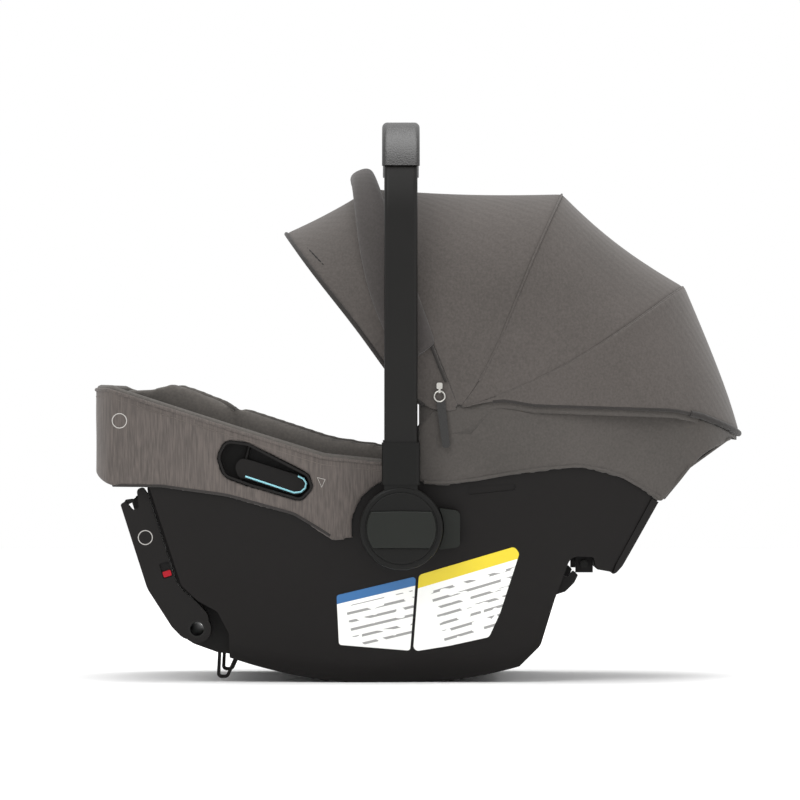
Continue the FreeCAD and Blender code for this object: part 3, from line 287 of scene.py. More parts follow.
@dataclass(frozen=True)
class BeadFoam:
    """Expanded bead foam: matt, with moulded bead outlines."""

    name: str
    colour: str
    seam: str
    bead_mm: float = 4.0

    def make(self) -> bpy.types.Material:
        """Build the foam's material."""
        material, tree, shader = start_material(self.name)
        beads = add_node(tree, "ShaderNodeTexVoronoi", {
            "Vector": scaled_place(tree, (1.0, 1.0, 1.0)), "Scale": 1000 / self.bead_mm},
            feature="DISTANCE_TO_EDGE")
        edge = add_node(tree, "ShaderNodeMapRange", {"Value": beads.outputs["Distance"], "From Max": 0.08})
        colour = mixed(tree, edge.outputs["Result"], self.seam, self.colour)
        tree.links.new(colour, shader.inputs["Base Color"])
        bump = add_node(tree, "ShaderNodeBump", {
            "Height": edge.outputs["Result"], "Strength": 0.4, "Distance": 0.0006})
        tree.links.new(bump.outputs["Normal"], shader.inputs["Normal"])
        shader.inputs["Roughness"].default_value = 0.85
        return material


@dataclass(frozen=True)
class PrintedFilm:
    """Glossy printed film: a coloured header band over white, with plain grey rules below."""

    name: str
    header: str
    origin_mm: tuple[float, float]
    tilt_deg: float
    header_mm: float
    rule_mm: float = 4.2
    inset_mm: float = 6.0
    width_mm: float = 80.0
    height_mm: float = 60.0

    def make(self) -> bpy.types.Material:
        """Build the film's material from bands along and down the label."""
        material, tree, shader = start_material(self.name)
        place = add_node(tree, "ShaderNodeTexCoord")
        turned = add_node(tree, "ShaderNodeMapping", {
            "Vector": place.outputs["Object"],
            "Location": (self.origin_mm[0] * MM, 0.0, self.origin_mm[1] * MM),
            "Rotation": (0.0, -math.radians(self.tilt_deg), 0.0)}, vector_type="TEXTURE")
        parts = add_node(tree, "ShaderNodeSeparateXYZ", {"Vector": turned.outputs["Vector"]})
        across, down = parts.outputs["X"], parts.outputs["Z"]

        def step(value: bpy.types.NodeSocket, edge: float, above: bool) -> bpy.types.NodeSocket:
            """One above or below an edge, zero elsewhere."""
            test = "GREATER_THAN" if above else "LESS_THAN"
            return add_node(tree, "ShaderNodeMath", {0: value, 1: edge}, operation=test).outputs[0]

        def both(first: bpy.types.NodeSocket, second: bpy.types.NodeSocket) -> bpy.types.NodeSocket:
            """One where both are one."""
            return add_node(tree, "ShaderNodeMath", {0: first, 1: second}, operation="MULTIPLY").outputs[0]

        head = step(down, -self.header_mm * MM, True)
        wave = add_node(tree, "ShaderNodeMath", {
            0: down, 1: self.rule_mm * MM}, operation="PINGPONG").outputs[0]
        rules = step(wave, self.rule_mm * MM * 0.68, True)
        field_area = both(step(across, self.inset_mm * MM, True),
                          step(across, (self.width_mm - self.inset_mm) * MM, False))
        field_area = both(field_area, step(down, -(self.header_mm + 4) * MM, False))
        field_area = both(field_area, step(down, -(self.height_mm - self.inset_mm) * MM, True))
        breaks = add_node(tree, "ShaderNodeTexNoise", {
            "Vector": scaled_place(tree, (120.0, 0.0, 1000 / self.rule_mm)), "Scale": 0.6, "Detail": 0.0})
        rules = both(both(rules, field_area), step(breaks.outputs["Fac"], 0.44, True))
        white = add_node(tree, "ShaderNodeMix", {
            "Factor": rules, "A": linear("EDEDE9"), "B": linear("8E8E8C")}, data_type="RGBA")
        whole = add_node(tree, "ShaderNodeMix", {
            "Factor": head, "A": white.outputs["Result"], "B": linear(self.header)}, data_type="RGBA")
        tree.links.new(whole.outputs["Result"], shader.inputs["Base Color"])
        shader.inputs["Roughness"].default_value = 0.32
        return material


# ---------------------------------------------------------------- the seat's finishes
# Cloth: matt yarn with flecks, and a pale sheen where it turns away. The front wrap's flecks run upright.
CANOPY_CLOTH = WovenCloth("polyester_twill_canopy", "46423F", "524D4A", thread_mm=1.3, contrast=0.6)
BAND_CLOTH = WovenCloth("polyester_knit_band", "3B3836", "454140", thread_mm=1.2, contrast=0.5)
HEATHER_CLOTH = WovenCloth("heathered_woven_wrap", "4B4643", "5E5753", thread_mm=0.9, streak_mm=16.0, contrast=0.8)
REAR_CLOTH = WovenCloth("polyester_twill_wrap", "43403D", "4E4A47", thread_mm=1.3, contrast=0.5)
PAD_CLOTH = WovenCloth("brushed_knit_pad", "4A4744", "57534F", thread_mm=1.6, contrast=0.6, relief=0.35)
INSERT_CLOTH = WovenCloth("soft_jersey_insert", "43433F", "51514C", thread_mm=1.4, contrast=0.55, relief=0.3)
BINDING_CLOTH = WovenCloth("bias_binding", "2A2826", "343130", thread_mm=1.0, contrast=0.4)
WEBBING = WovenCloth("polyester_webbing", "232221", "3A3836", thread_mm=1.8, contrast=0.5, relief=0.5)
THREAD = WovenCloth("bonded_thread", "57514D", "655E59", thread_mm=0.8, contrast=0.3, sheen=0.05)
# Moulded plastics: near black with a fine spark-eroded grain, so that highlights are broad and dull.
SHELL_PLASTIC = MouldedPlastic("moulded_polypropylene_shell", "0D0B0A", "120F0E", roughness=0.46, grain_mm=1.0)
HUB_PLASTIC = MouldedPlastic("moulded_nylon_hub", "0B0B0A", "10100E", roughness=0.42)
HANDLE_PLASTIC = MouldedPlastic("moulded_nylon_handle", "0B0A09", "100F0D", roughness=0.42, shine=0.22)
TRIM_PLASTIC = MouldedPlastic("moulded_nylon_trim", "0F0D0C", "141211", roughness=0.45)
BUTTON_PLASTIC = MouldedPlastic("moulded_nylon_button", "191B18", "1F211E", roughness=0.4)
ARM_PLASTIC = MouldedPlastic("glass_filled_nylon_arm", "100E0D", "161413", roughness=0.42)
RED_PLASTIC = MouldedPlastic("moulded_red_abs", "8E0F1C", "A31423", roughness=0.35, relief=0.05)
CYAN_PLASTIC = MouldedPlastic("moulded_pale_cyan_abs", "8FCFDB", "A2DCE6", roughness=0.35, relief=0.05)
PALE_PRINT = MouldedPlastic("pale_grey_print", "A9A6A2", "B5B2AE", roughness=0.6, relief=0.05)
# Leatherette: embossed pebbles that catch the light on the crossbar, with painted shade in the crevices between
# them.
GRIP_SKIN = Leatherette("pebbled_leatherette_grip", "171513", "0C0B0A")
TAB_SKIN = Leatherette("leatherette_pull_tab", "1A1816", "0F0E0D", roughness=0.5)
# Metals: plated parts gleam, coated tubes stay dark.
STEEL = Metal("zinc_plated_steel", "B9B7B2", 0.28)
DARK_STEEL = Metal("black_coated_steel", "2A2A29", 0.45)
FOAM = BeadFoam("expanded_bead_foam", "2B2B2A", "1C1C1B")
# Printed film: glossy labels, with the header band as the only strong colour besides the red buttons.
GUIDE_FILM = PrintedFilm("printed_film_blue", "1F5F96", (-83.5, 90.0), 13.4, 9.0, width_mm=83.0, height_mm=62.0)
NOTICE_FILM = PrintedFilm("printed_film_yellow", "D8C21A", (1.0, 111.0), 16.5, 13.0, width_mm=104.0,
                          height_mm=82.0)
_made: dict[str, bpy.types.Material] = {}


def finish_of(finish: object) -> bpy.types.Material:
    """The finish's material, built once."""
    if finish.name not in _made:
        _made[finish.name] = finish.make()
    return _made[finish.name]


def dress(piece: bpy.types.Object, finish: object) -> bpy.types.Object:
    """Give a piece one finish all over.

    Args:
        piece: the piece.
        finish: the finish it gets.

    Returns:
        The same piece.
    """
    material = finish_of(finish)
    if piece.data.materials:
        for slot in range(len(piece.data.materials)):
            piece.data.materials[slot] = material
    else:
        piece.data.materials.append(material)
    return piece


# ---------------------------------------------------------------- mesh helpers
def piece_from(bm: bmesh.types.BMesh, name: str, smooth: bool = True) -> bpy.types.Object:
    """Turn a bmesh into a piece in the scene and free it.

    Args:
        bm: the finished bmesh.
        name: the piece's name.
        smooth: whether its faces shade smoothly.

    Returns:
        The new piece.
    """
    mesh = bpy.data.meshes.new(name)
    bm.to_mesh(mesh)
    bm.free()
    for polygon in mesh.polygons:
        polygon.use_smooth = smooth
    made = bpy.data.objects.new(name, mesh)
    bpy.context.scene.collection.objects.link(made)
    return made


def merged_copy(node: str) -> bmesh.types.BMesh:
    """A frame node's mesh as a bmesh, with its loose triangles joined."""
    bm = bmesh.new()
    bm.from_mesh(frame["nodes"][node].data)
    bmesh.ops.remove_doubles(bm, verts=bm.verts, dist=0.00002)
    bmesh.ops.recalc_face_normals(bm, faces=bm.faces)
    return bm


def apply_modifier(piece: bpy.types.Object, kind: str, **settings) -> None:
    """Add a modifier, set it and bake its result into the mesh.

    Args:
        piece: the piece to change.
        kind: the modifier's type.
        **settings: the modifier's properties.
    """
    modifier = piece.modifiers.new(kind.lower(), kind)
    for key, value in settings.items():
        setattr(modifier, key, value)
    depsgraph = bpy.context.evaluated_depsgraph_get()
    mesh = bpy.data.meshes.new_from_object(piece.evaluated_get(depsgraph))
    piece.modifiers.clear()
    piece.data = mesh


def soft_copy(node: str, name: str, voxel: float, rounds: int,
              swell: Callable[[Vector, Vector], float]) -> bpy.types.Object:
    """A soft piece from a plain frame node: remeshed evenly, its edges rounded and its faces swelled.

    Args:
        node: the frame node it starts from.
        name: the piece's name.
        voxel: size of the even mesh, in metres.
        rounds: how often its points are smoothed.
        swell: how far a point at a place with a normal moves outwards, in metres.

    Returns:
        The soft piece.
    """
    piece = piece_from(merged_copy(node), name)
    apply_modifier(piece, "REMESH", mode="VOXEL", voxel_size=voxel, use_smooth_shade=True)
    bm = bmesh.new()
    bm.from_mesh(piece.data)
    for _ in range(rounds):
        bmesh.ops.smooth_vert(bm, verts=bm.verts, factor=0.5, use_axis_x=True, use_axis_y=True, use_axis_z=True)
    bm.normal_update()
    moves = [(vert, vert.normal * swell(vert.co, vert.normal)) for vert in bm.verts]
    for vert, move in moves:
        vert.co += move
    bm.to_mesh(piece.data)
    bm.free()
    for polygon in piece.data.polygons:
        polygon.use_smooth = True
    return piece


def tube(points: Sequence[Vector], radius: float, name: str, closed: bool = False) -> bpy.types.Object:
    """A round bead, such as piping or thread, along a line of points.

    Args:
        points: the line, in metres.
        radius: the bead's radius.
        name: the piece's name.
        closed: whether the line runs back to its start.

    Returns:
        The bead as a mesh piece.
    """
    curve = bpy.data.curves.new(name, "CURVE")
    curve.dimensions = "3D"
    curve.bevel_depth = radius
    curve.bevel_resolution = 3
    curve.use_fill_caps = not closed
    spline = curve.splines.new("POLY")
    spline.points.add(len(points) - 1)
    for point, place in zip(spline.points, points):
        point.co = (place[0], place[1], place[2], 1.0)
    spline.use_cyclic_u = closed
    holder = bpy.data.objects.new(name + "_line", curve)
    mesh = bpy.data.meshes.new_from_object(holder)
    bpy.data.objects.remove(holder)
    bpy.data.curves.remove(curve)
    bm = bmesh.new()
    bm.from_mesh(mesh)
    bpy.data.meshes.remove(mesh)
    return piece_from(bm, name)


def swept(stations: Sequence[Sequence[Vector]], name: str, closed: bool = False) -> bpy.types.Object:
    """A closed form through cross-sections that hold the same number of points.

    Args:
        stations: the cross-sections, each a ring of places.
        name: the piece's name.
        closed: whether the last section joins the first.

    Returns:
        The piece.
    """
    bm = bmesh.new()
    rings = [[bm.verts.new(place) for place in ring] for ring in stations]
    loops = []
    for ring in rings:
        loops.append([bm.edges.new((ring[i], ring[(i + 1) % len(ring)])) for i in range(len(ring))])
    pairs = list(zip(loops, loops[1:]))
    if closed:
        pairs.append((loops[-1], loops[0]))
    for first, second in pairs:
        bmesh.ops.bridge_loops(bm, edges=first + second)
    if not closed:
        bmesh.ops.contextual_create(bm, geom=loops[0])
        bmesh.ops.contextual_create(bm, geom=loops[-1])
    bmesh.ops.recalc_face_normals(bm, faces=bm.faces)
    return piece_from(bm, name)


def height_on(line: Sequence[tuple[float, float]], x_mm: float) -> float:
    """Height of a hem or rim line at a place along the seat, both in millimetres."""
    for (x0, z0), (x1, z1) in zip(line, line[1:]):
        if x0 <= x_mm <= x1:
            share = (x_mm - x0) / (x1 - x0)
            return z0 + share * (z1 - z0)
    return line[0][1] if x_mm < line[0][0] else line[-1][1]


class Skin:
    """Finds places on the outside or inside of frame nodes."""

    def __init__(self, *nodes: str) -> None:
        """Build the search tree.

        Args:
            *nodes: the frame nodes to look at.
        """
        bm = bmesh.new()
        for node in nodes:
            bm.from_mesh(frame["nodes"][node].data)
        self.tree = BVHTree.FromBMesh(bm)
        bm.free()

    def towards(self, start: Vector, goal: Vector) -> tuple[Vector, Vector] | None:
        """First place on the skin on the way from start to goal, with its normal towards start."""
        way = (goal - start).normalized()
        place, normal, _index, _distance = self.tree.ray_cast(start, way)
        if place is None:
            return None
        if normal.dot(way) > 0:
            normal = -normal
        return place, normal

    def beside(self, x: float, z: float, side: Side) -> tuple[Vector, Vector] | None:
        """Place on the seat's side at a length and a height."""
        return self.towards(Vector((x, side.value * 0.4, z)), Vector((x, 0.0, z)))


def around(skin: Skin, line: Sequence[tuple[float, float]], centre: Vector, angles: Iterable[float],
           out: float, lift: float = 0.0) -> list[Vector]:
    """Places on a skin at the height of a line, seen from a vertical axis.

    Args:
        skin: the skin to look for.
        line: x and height in millimetres.
        centre: a point on the vertical axis.
        angles: directions in degrees; 180 is the foot end and 270 the left side.
        out: how far off the skin the places lie, in metres.
        lift: added to the height, in metres.

    Returns:
        The places, without those where nothing was found.
    """
    places = []
    for angle in angles:
        way = Vector((math.cos(math.radians(angle)), math.sin(math.radians(angle)), 0.0))
        height = height_on(line, centre.x * 1000 + way.x * 200) * MM + lift
        found = None
        for _ in range(4):
            start = Vector((centre.x, centre.y, height)) + way * 0.6
            found = skin.towards(start, Vector((centre.x, centre.y, height)))
            if found is None:
                break
            height = height_on(line, found[0].x * 1000) * MM + lift
        if found is not None:
            places.append(found[0] + found[1] * out)
    return places


# ---------------------------------------------------------------- canopy
@dataclass
class Seam:
    """One line of the canopy from the pivot to the top: an angle that may bend near the pivot."""

    angle: float
    reach: float
    bends: tuple[tuple[float, float], ...] = ()

    def at(self, share: float) -> float:
        """Angle above +X at a share of the reach, in degrees."""
        left = max(0.0, 1.0 - share)
        return self.angle + sum(bend * left ** power for bend, power in self.bends)


@dataclass
class Canopy:
    """Folding hood: fabric panels over four bows, bindings, drape band and zip."""

    half_width: float = 184.0
    corner: float = 118.0
    start: float = 3.0
    tail_reach: float = 292.5
    cloth: float = 1.6
    band_reach: float = 252.0
    seams: dict[str, Seam] = field(default_factory=lambda: {
        "rear": Seam(28.3, 266.0, ((-14.0, 1.4),)),
        "mid": Seam(64.1, 247.5, ((-16.0, 3.0),)),
        "front": Seam(111.9, 246.0),
        "visor": Seam(134.6, 255.0, ((11.0, 1.0), (66.0, 4.9))),
    })
    hem: tuple[tuple[float, float], ...] = (
        (-331, 286), (42, 286), (90, 290), (118, 285), (262, 280), (291, 274), (322, 262), (351, 246))

    def __post_init__(self) -> None:
        """Find the pivot from the frame."""
        joint = next(j for j in frame["joints"] if j["name"] == "canopy_fold")
        self.pivot = Vector((joint["pos_m"][0] * 1000, 0.0, joint["pos_m"][2] * 1000))

    def profile(self, reach: float, half_width: float) -> list[tuple[float, float]]:
        """Half-hoop as (across, distance from the pivot), from one leg to the other.

        Args:
            reach: distance of the top from the pivot, in millimetres.
            half_width: half the hoop's width, in millimetres.

        Returns:
            The points of the hoop.
        """
        points = []
        legs, bends, tops = 16, 14, 5
        straight = reach - self.corner
        for i in range(legs):
            points.append((-half_width, self.start + (straight - self.start) * i / legs))
        for i in range(bends):
            turn = math.pi / 2 * i / bends
            points.append((-half_width + self.corner * (1 - math.cos(turn)),
                           straight + self.corner * math.sin(turn)))
        flat = half_width - self.corner
        points += [(-flat + 2 * flat * i / (2 * tops), reach) for i in range(tops)]
        return points + [(0.0, reach)] + [(-y, r) for y, r in reversed(points)]

    def place(self, angle: float, y: float, r: float) -> Vector:
        """A point in metres from an angle, a place across and a distance from the pivot."""
        a = math.radians(angle)
        return Vector((self.pivot.x + r * math.cos(a), y, self.pivot.z + r * math.sin(a))) * MM

    def hem_angle(self, r: float) -> float:
        """Angle at which a distance from the pivot meets the lower hem, in degrees."""
        angle = 0.0
        for _ in range(6):
            x = self.pivot.x + r * math.cos(math.radians(angle))
            rise = (height_on(self.hem, x) - self.pivot.z) / r
            angle = math.degrees(math.asin(max(-0.9, min(0.9, rise))))
        return min(angle, self.seams["rear"].at(r / self.seams["rear"].reach) - 3.0)

    def panel(self, name: str, lower: Callable[[float, float], float], low_reach: float, upper: Seam,
              sag: float, rows: int, inset: float, narrowing: float = 0.0) -> bpy.types.Object:
        """One fabric panel as a grid that grows row by row from its lower seam.

        Args:
            name: the piece's name.
            lower: angle of the lower edge from (share of reach, distance from the pivot).
            low_reach: reach of the lower edge.
            upper: the upper seam.
            sag: how far the middle of the panel hangs in, in millimetres.
            rows: steps between the two edges.
            inset: how far the cloth lies under the outline, in millimetres.
            narrowing: how far the lower edge is drawn in on each side, in millimetres.

        Returns:
            The panel as a thick sheet.
        """
        bm = bmesh.new()
        first, last = math.radians(lower(1.0, low_reach)), math.radians(upper.at(1.0))
        low_end = (low_reach * math.cos(first), low_reach * math.sin(first))
        high_end = (upper.reach * math.cos(last), upper.reach * math.sin(last))
        previous: list[bmesh.types.BMVert] = []
        for row in range(rows + 1):
            share = row / rows
            x = low_end[0] + (high_end[0] - low_end[0]) * share
            z = low_end[1] + (high_end[1] - low_end[1]) * share
            reach = math.hypot(x, z) - sag * 4 * share * (1 - share) - inset
            top_angle = math.degrees(math.atan2(z, x))
            width = self.half_width - inset - narrowing * (1 - share) ** 2
            across = math.degrees(last) - math.degrees(first)
            step = (top_angle - math.degrees(first)) / across
            current = []
            for y, r in self.profile(reach, width):
                near = min(1.0, r / reach)
                low_angle, high_angle = lower(near, r), upper.at(near)
                crease = 0.0
                if abs(y) >= width - 0.01:
                    crease = 1.1 * math.sin(math.pi * share) * math.sin(math.pi * near)
                current.append(bm.verts.new(self.place(
                    low_angle + (high_angle - low_angle) * step, y - math.copysign(crease, y), r)))
            if previous:
                for i in range(len(current) - 1):
                    bm.faces.new((previous[i], previous[i + 1], current[i + 1], current[i]))
            previous = current
        bmesh.ops.recalc_face_normals(bm, faces=bm.faces)
        area = sum(face.calc_area() for face in bm.faces)
        made = piece_from(bm, name)
        solid = made.modifiers.new("thickness", "SOLIDIFY")
        solid.thickness = self.cloth * MM
        solid.offset = 0.0
        smooth = made.modifiers.new("smooth", "SUBSURF")
        smooth.levels = smooth.render_levels = 1
        girth = sum((Vector(b) - Vector(a)).length for a, b in zip(
            self.profile(upper.reach, self.half_width), self.profile(upper.reach, self.half_width)[1:])) * MM
        depth = (Vector(high_end) - Vector(low_end)).length * MM
        made["flat"] = (max(girth, area / max(depth, 0.01)), depth)
        made["area"] = area
        return made

    def seam_line(self, seam: Seam, out: float, low: float = 0.0) -> list[Vector]:
        """Places along a seam, a little outside the cloth.

        Args:
            seam: the seam.
            out: how far outside the outline, in millimetres.
            low: distance from the pivot below which the line stops, in millimetres.

        Returns:
            Places from the left leg over the top to the right leg.
        """
        places = []
        for y, r in self.profile(seam.reach + out, self.half_width + out):
            if r >= low:
                places.append(self.place(seam.at(min(1.0, r / seam.reach)), y, r))
        return places

    def hem_line(self, out: float) -> list[Vector]:
        """Places along the tail's lower hem, from the left pivot round the back to the right one."""
        places = []
        for y, r in self.profile(self.tail_reach + out, self.half_width + out):
            if r >= 26:
                places.append(self.place(self.hem_angle(r), y, r))
        return places

    def collar(self) -> bpy.types.Object:
        """Strip of lining that closes the gap between the canopy's hem and the rim behind it."""
        inset, bm = 3.2, bmesh.new()
        previous: list[bmesh.types.BMVert] = []
        line = self.profile(self.tail_reach - inset, self.half_width - inset)
        flat = [(y, r) for y, r in line if r >= 26]
        path = [(-self.half_width + inset, r) for r in (-40, -20, 0, 12)] + flat
        path += [(self.half_width - inset, r) for r in (12, 0, -20, -40)]
        for y, r in path:
            x = self.pivot.x + r
            top = height_on(self.hem, x) + 3.0
            low = height_on(self.hem, x) - 8.0 if x > 60 else 256.0
            current = [bm.verts.new(Vector((x, y, low + (top - low) * k / 3)) * MM) for k in range(4)]
            if previous:
                for a, b, c, d in zip(previous, previous[1:], current[1:], current):
                    bm.faces.new((a, b, c, d))
            previous = current
        bmesh.ops.recalc_face_normals(bm, faces=bm.faces)
        made = piece_from(bm, "canopy_collar_cloth")
        solid = made.modifiers.new("thickness", "SOLIDIFY")
        solid.thickness, solid.offset = 1.0 * MM, 0.0
        return made

    def band(self) -> bpy.types.Object:
        """Rolled drape band in front of the front bow: narrow and thick on top, wide and flat on the sides."""
        stations = []
        points = self.profile(self.band_reach, self.half_width - 1.0)
        points = [(y, r) for y, r in points if r > 62]
        for y, r in points:
            near = min(1.0, r / self.band_reach)
            leg = 1.0 if abs(y) > self.half_width - 2 else (abs(y) / self.half_width) ** 2
            right = 109.6
            left = 115.6 + 38.0 * (1.0 - near) ** 1.25
            thick = 7.6 * leg + 17.5 * (1 - leg)
            middle_y = math.copysign(1.0, y) if y else 0.0
            corner_share = min(1.0, max(0.0, (r - (self.band_reach - self.corner)) / self.corner))
            outward_y = middle_y * math.cos(corner_share * math.pi / 2) if y else 0.0
            outward_r = math.sin(corner_share * math.pi / 2)
            ring = []
            count = 20
            for i in range(count):
                turn = 2 * math.pi * i / count
                lift = max(0.0, math.sin(turn)) ** 0.5 * thick + min(0.0, math.sin(turn)) * 1.2
                share = 0.5 - 0.5 * math.cos(turn)
                angle = right + (left - right) * share
                fold = 0.7 * math.sin(share * math.pi * 3) * math.sin(near * 9.0)
                ring.append(self.place(angle, y + outward_y * (lift + fold), r + outward_r * (lift + fold)))
            stations.append(ring)
        made = swept(stations, "canopy_drape_band")
        smooth = made.modifiers.new("smooth", "SUBSURF")
        smooth.levels = smooth.render_levels = 1
        return made

    def build(self) -> None:
        """Make and dress the canopy."""
        rear, mid, front, visor = (self.seams[k] for k in ("rear", "mid", "front", "visor"))
        panels = (
            ("canopy_tail_cloth", lambda s, r: self.hem_angle(r), self.tail_reach, rear, -2.0, 14, -0.4, 0.0,
             "canopy_tail_panel", ("shell", "canopy_rear")),
            ("canopy_rear_cloth", lambda s, r: rear.at(s), rear.reach, mid, 6.0, 18, 1.0, 0.0,
             "canopy_rear_panel", ("canopy_rear", "canopy_mid")),
            ("canopy_middle_cloth", lambda s, r: mid.at(s), mid.reach, front, 3.0, 20, 1.2, 0.0,
             "canopy_mid_panel", ("canopy_mid", "canopy_front")),
            ("canopy_visor_cloth", lambda s, r: front.at(s), front.reach, visor, 2.0, 10, 1.0, 0.0,
             "canopy_visor_panel", ("canopy_front", "canopy_visor")),
        )
        for name, lower, low_reach, upper, sag, rows, inset, narrowing, node, bodies in panels:
            made = self.panel(name, lower, low_reach, upper, sag, rows, inset, narrowing)
            dress(made, CANOPY_CLOTH)
            low_angle = lower(1.0, low_reach)
            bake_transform(made)
            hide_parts(node)
            LOG.info("%s: %d faces", name, len(made.data.polygons))
        for name, seam, body, low in (("canopy_rear_seam_0", rear, "canopy_rear", 34),
                                      ("canopy_middle_seam_0", mid, "canopy_mid", 30)):
            bead = tube(self.seam_line(seam, -0.6, low), 1.1 * MM, name)
            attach(dress(bead, CANOPY_CLOTH), body)
        edge = tube(self.seam_line(visor, -0.8, 30), 2.2 * MM, "canopy_visor_binding")
        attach(dress(edge, BINDING_CLOTH), "canopy_visor")
        lip = tube(self.hem_line(-0.2), 1.7 * MM, "canopy_tail_binding")
        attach(dress(lip, BINDING_CLOTH), "shell")
        tail = [place for place in self.hem_line(0.4) if place.x > 0.27]
        roll = tube(tail, 3.2 * MM, "canopy_tail_roll")
        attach(dress(roll, BINDING_CLOTH), "shell")
        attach(dress(self.collar(), REAR_CLOTH), "shell")
        band = dress(self.band(), BAND_CLOTH)
        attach(band, "canopy_front")
        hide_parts("canopy_band")
        LOG.info("%s: %d faces", band.name, len(band.data.polygons))
        zip_seam = Seam(109.0, 250.0, ((10.0, 2.2),))
        for side in Side:
            line = [self.place(zip_seam.at(r / 250.0), side.value * (self.half_width + 0.3), r)
                    for r in range(30, 140, 6)]
            coil = tube(line, 1.6 * MM, f"canopy_zip_coil_{side.name.lower()}")
            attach(dress(coil, BINDING_CLOTH), "canopy_front")


# ---------------------------------------------------------------- outer covers
@dataclass
class OuterCovers:
    """Fabric wraps on the outside of the shell with their bindings, rim roll and printed marks."""

    rim: tuple[tuple[float, float], ...] = (
        (-351, 302), (-317, 301), (-252, 280), (-186, 259), (-141, 245), (-97, 231.5), (-34, 225))
    front_hem: tuple[tuple[float, float], ...] = (
        (-351, 201), (-263, 200.5), (-195, 191), (-127, 172), (-100, 156), (-86, 147))
    rear_hem: tuple[tuple[float, float], ...] = (
        (2, 204), (27, 203), (61, 207), (88, 212), (127, 218), (166, 221), (190, 217), (217, 208), (246, 189),
        (256, 187), (263, 196), (270, 211), (296, 237), (351, 262))
    ring_at: tuple[float, float] = (-306.0, 269.0)
    ring_radius: float = 7.4
    mark_at: tuple[float, float] = (-99.0, 206.0)

    def build(self) -> None:
        """Make and dress the wraps."""
        def puff(place: Vector, _normal: Vector) -> float:
            """Slow undulation of padded cloth."""
            return 0.0004 + 0.0007 * noise.noise(place * 26.0)

        for node, name, finish, slot in (("front_wrap", "front_wrap_cloth", HEATHER_CLOTH, "front_fabric"),
                                         ("rear_wrap", "rear_wrap_cloth", REAR_CLOTH, "rear_fabric")):
            voxel = 0.0018
            wrap = dress(soft_copy(node, name, voxel, 5, puff), finish)
            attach(wrap, "shell")
            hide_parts(node)
            LOG.info("%s: %d faces", name, len(wrap.data.polygons))
        self.bindings()
        self.marks()

    def bindings(self) -> None:
        """Piping and stitch lines along the wraps' edges."""
        front = Skin("front_wrap")
        rear = Skin("rear_wrap")
        centre = Vector((-0.17, 0.0, 0.0))
        # Each line: name, skin, height line, lift above it (m), bead radius (mm), gap to the cloth (m), finish.
        for name, skin, line, lift, radius, out, finish in (
                ("front_rim_piping", front, self.rim, -0.0005, 1.9, 0.0, HEATHER_CLOTH),
                ("front_hem_piping", front, self.front_hem, 0.0018, 1.5, 0.0, BINDING_CLOTH),
                ("front_rim_stitch", front, self.rim, -0.0075, 0.45, 0.0002, THREAD)):
            places = self.foot_run(skin, line, centre, out, lift)
            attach(dress(tube(places, radius * MM, name), finish), "shell")
        places = self.foot_run(front, self.rim, centre, -0.0052, -0.0004)
        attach(dress(tube(places, 5.0 * MM, "front_rim_roll"), PAD_CLOTH), "shell")
        places = self.head_run(rear, self.rear_hem, Vector((0.14, 0.0, 0.0)), 0.0, 0.0022)
        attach(dress(tube(places, 1.8 * MM, "rear_hem_piping"), REAR_CLOTH), "shell")

    def foot_run(self, skin: Skin, line: Sequence[tuple[float, float]], centre: Vector, out: float,
                 lift: float) -> list[Vector]:
        """Places from the left side round the foot end to the right side."""
        last = line[-1][0] - 4
        left = [skin.beside(x * MM, height_on(line, x) * MM + lift, Side.LEFT)
                for x in range(int(last), int(centre.x * 1000), -6)]
        right = [skin.beside(x * MM, height_on(line, x) * MM + lift, Side.RIGHT)
                 for x in range(int(last), int(centre.x * 1000), -6)]
        places = [found[0] + found[1] * out for found in left if found]
        places += around(skin, line, centre, [270 - 2.5 * i for i in range(1, 72)], out, lift)
        return places + [found[0] + found[1] * out for found in reversed(right) if found]

    def head_run(self, skin: Skin, line: Sequence[tuple[float, float]], centre: Vector, out: float,
                 lift: float) -> list[Vector]:
        """Places from the left side round the head end to the right side."""
        first = line[0][0] + 4
        left = [skin.beside(x * MM, height_on(line, x) * MM + lift, Side.LEFT)
                for x in range(int(first), int(centre.x * 1000), 6)]
        right = [skin.beside(x * MM, height_on(line, x) * MM + lift, Side.RIGHT)
                 for x in range(int(first), int(centre.x * 1000), 6)]
        places = [found[0] + found[1] * out for found in left if found]
        places += around(skin, line, centre, [270 + 2.5 * i for i in range(1, 72)], out, lift)
        return places + [found[0] + found[1] * out for found in reversed(right) if found]

    def marks(self) -> None:
        """Plain printed ring and plain pointer on each side of the front wrap."""
        skin = Skin("front_wrap")
        for side in Side:
            ring = []
            for i in range(48):
                turn = 2 * math.pi * i / 48
                x = (self.ring_at[0] + self.ring_radius * math.cos(turn)) * MM
                z = (self.ring_at[1] + self.ring_radius * math.sin(turn)) * MM
                found = skin.beside(x, z, side)
                if found:
                    ring.append(found[0] + found[1] * 0.0004)
            made = tube(ring, 0.5 * MM, f"printed_ring_{side.name.lower()}", closed=True)
            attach(dress(made, PALE_PRINT), "shell")
            pointer = []
            for dx, dz in ((-4.0, 5.0), (4.0, 3.0), (0.5, -5.0)):
                found = skin.beside((self.mark_at[0] + dx) * MM, (self.mark_at[1] + dz) * MM, side)
                if found:
                    pointer.append(found[0] + found[1] * 0.0004)
            made = tube(pointer, 0.45 * MM, f"printed_pointer_{side.name.lower()}", closed=True)
            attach(dress(made, PALE_PRINT), "shell")


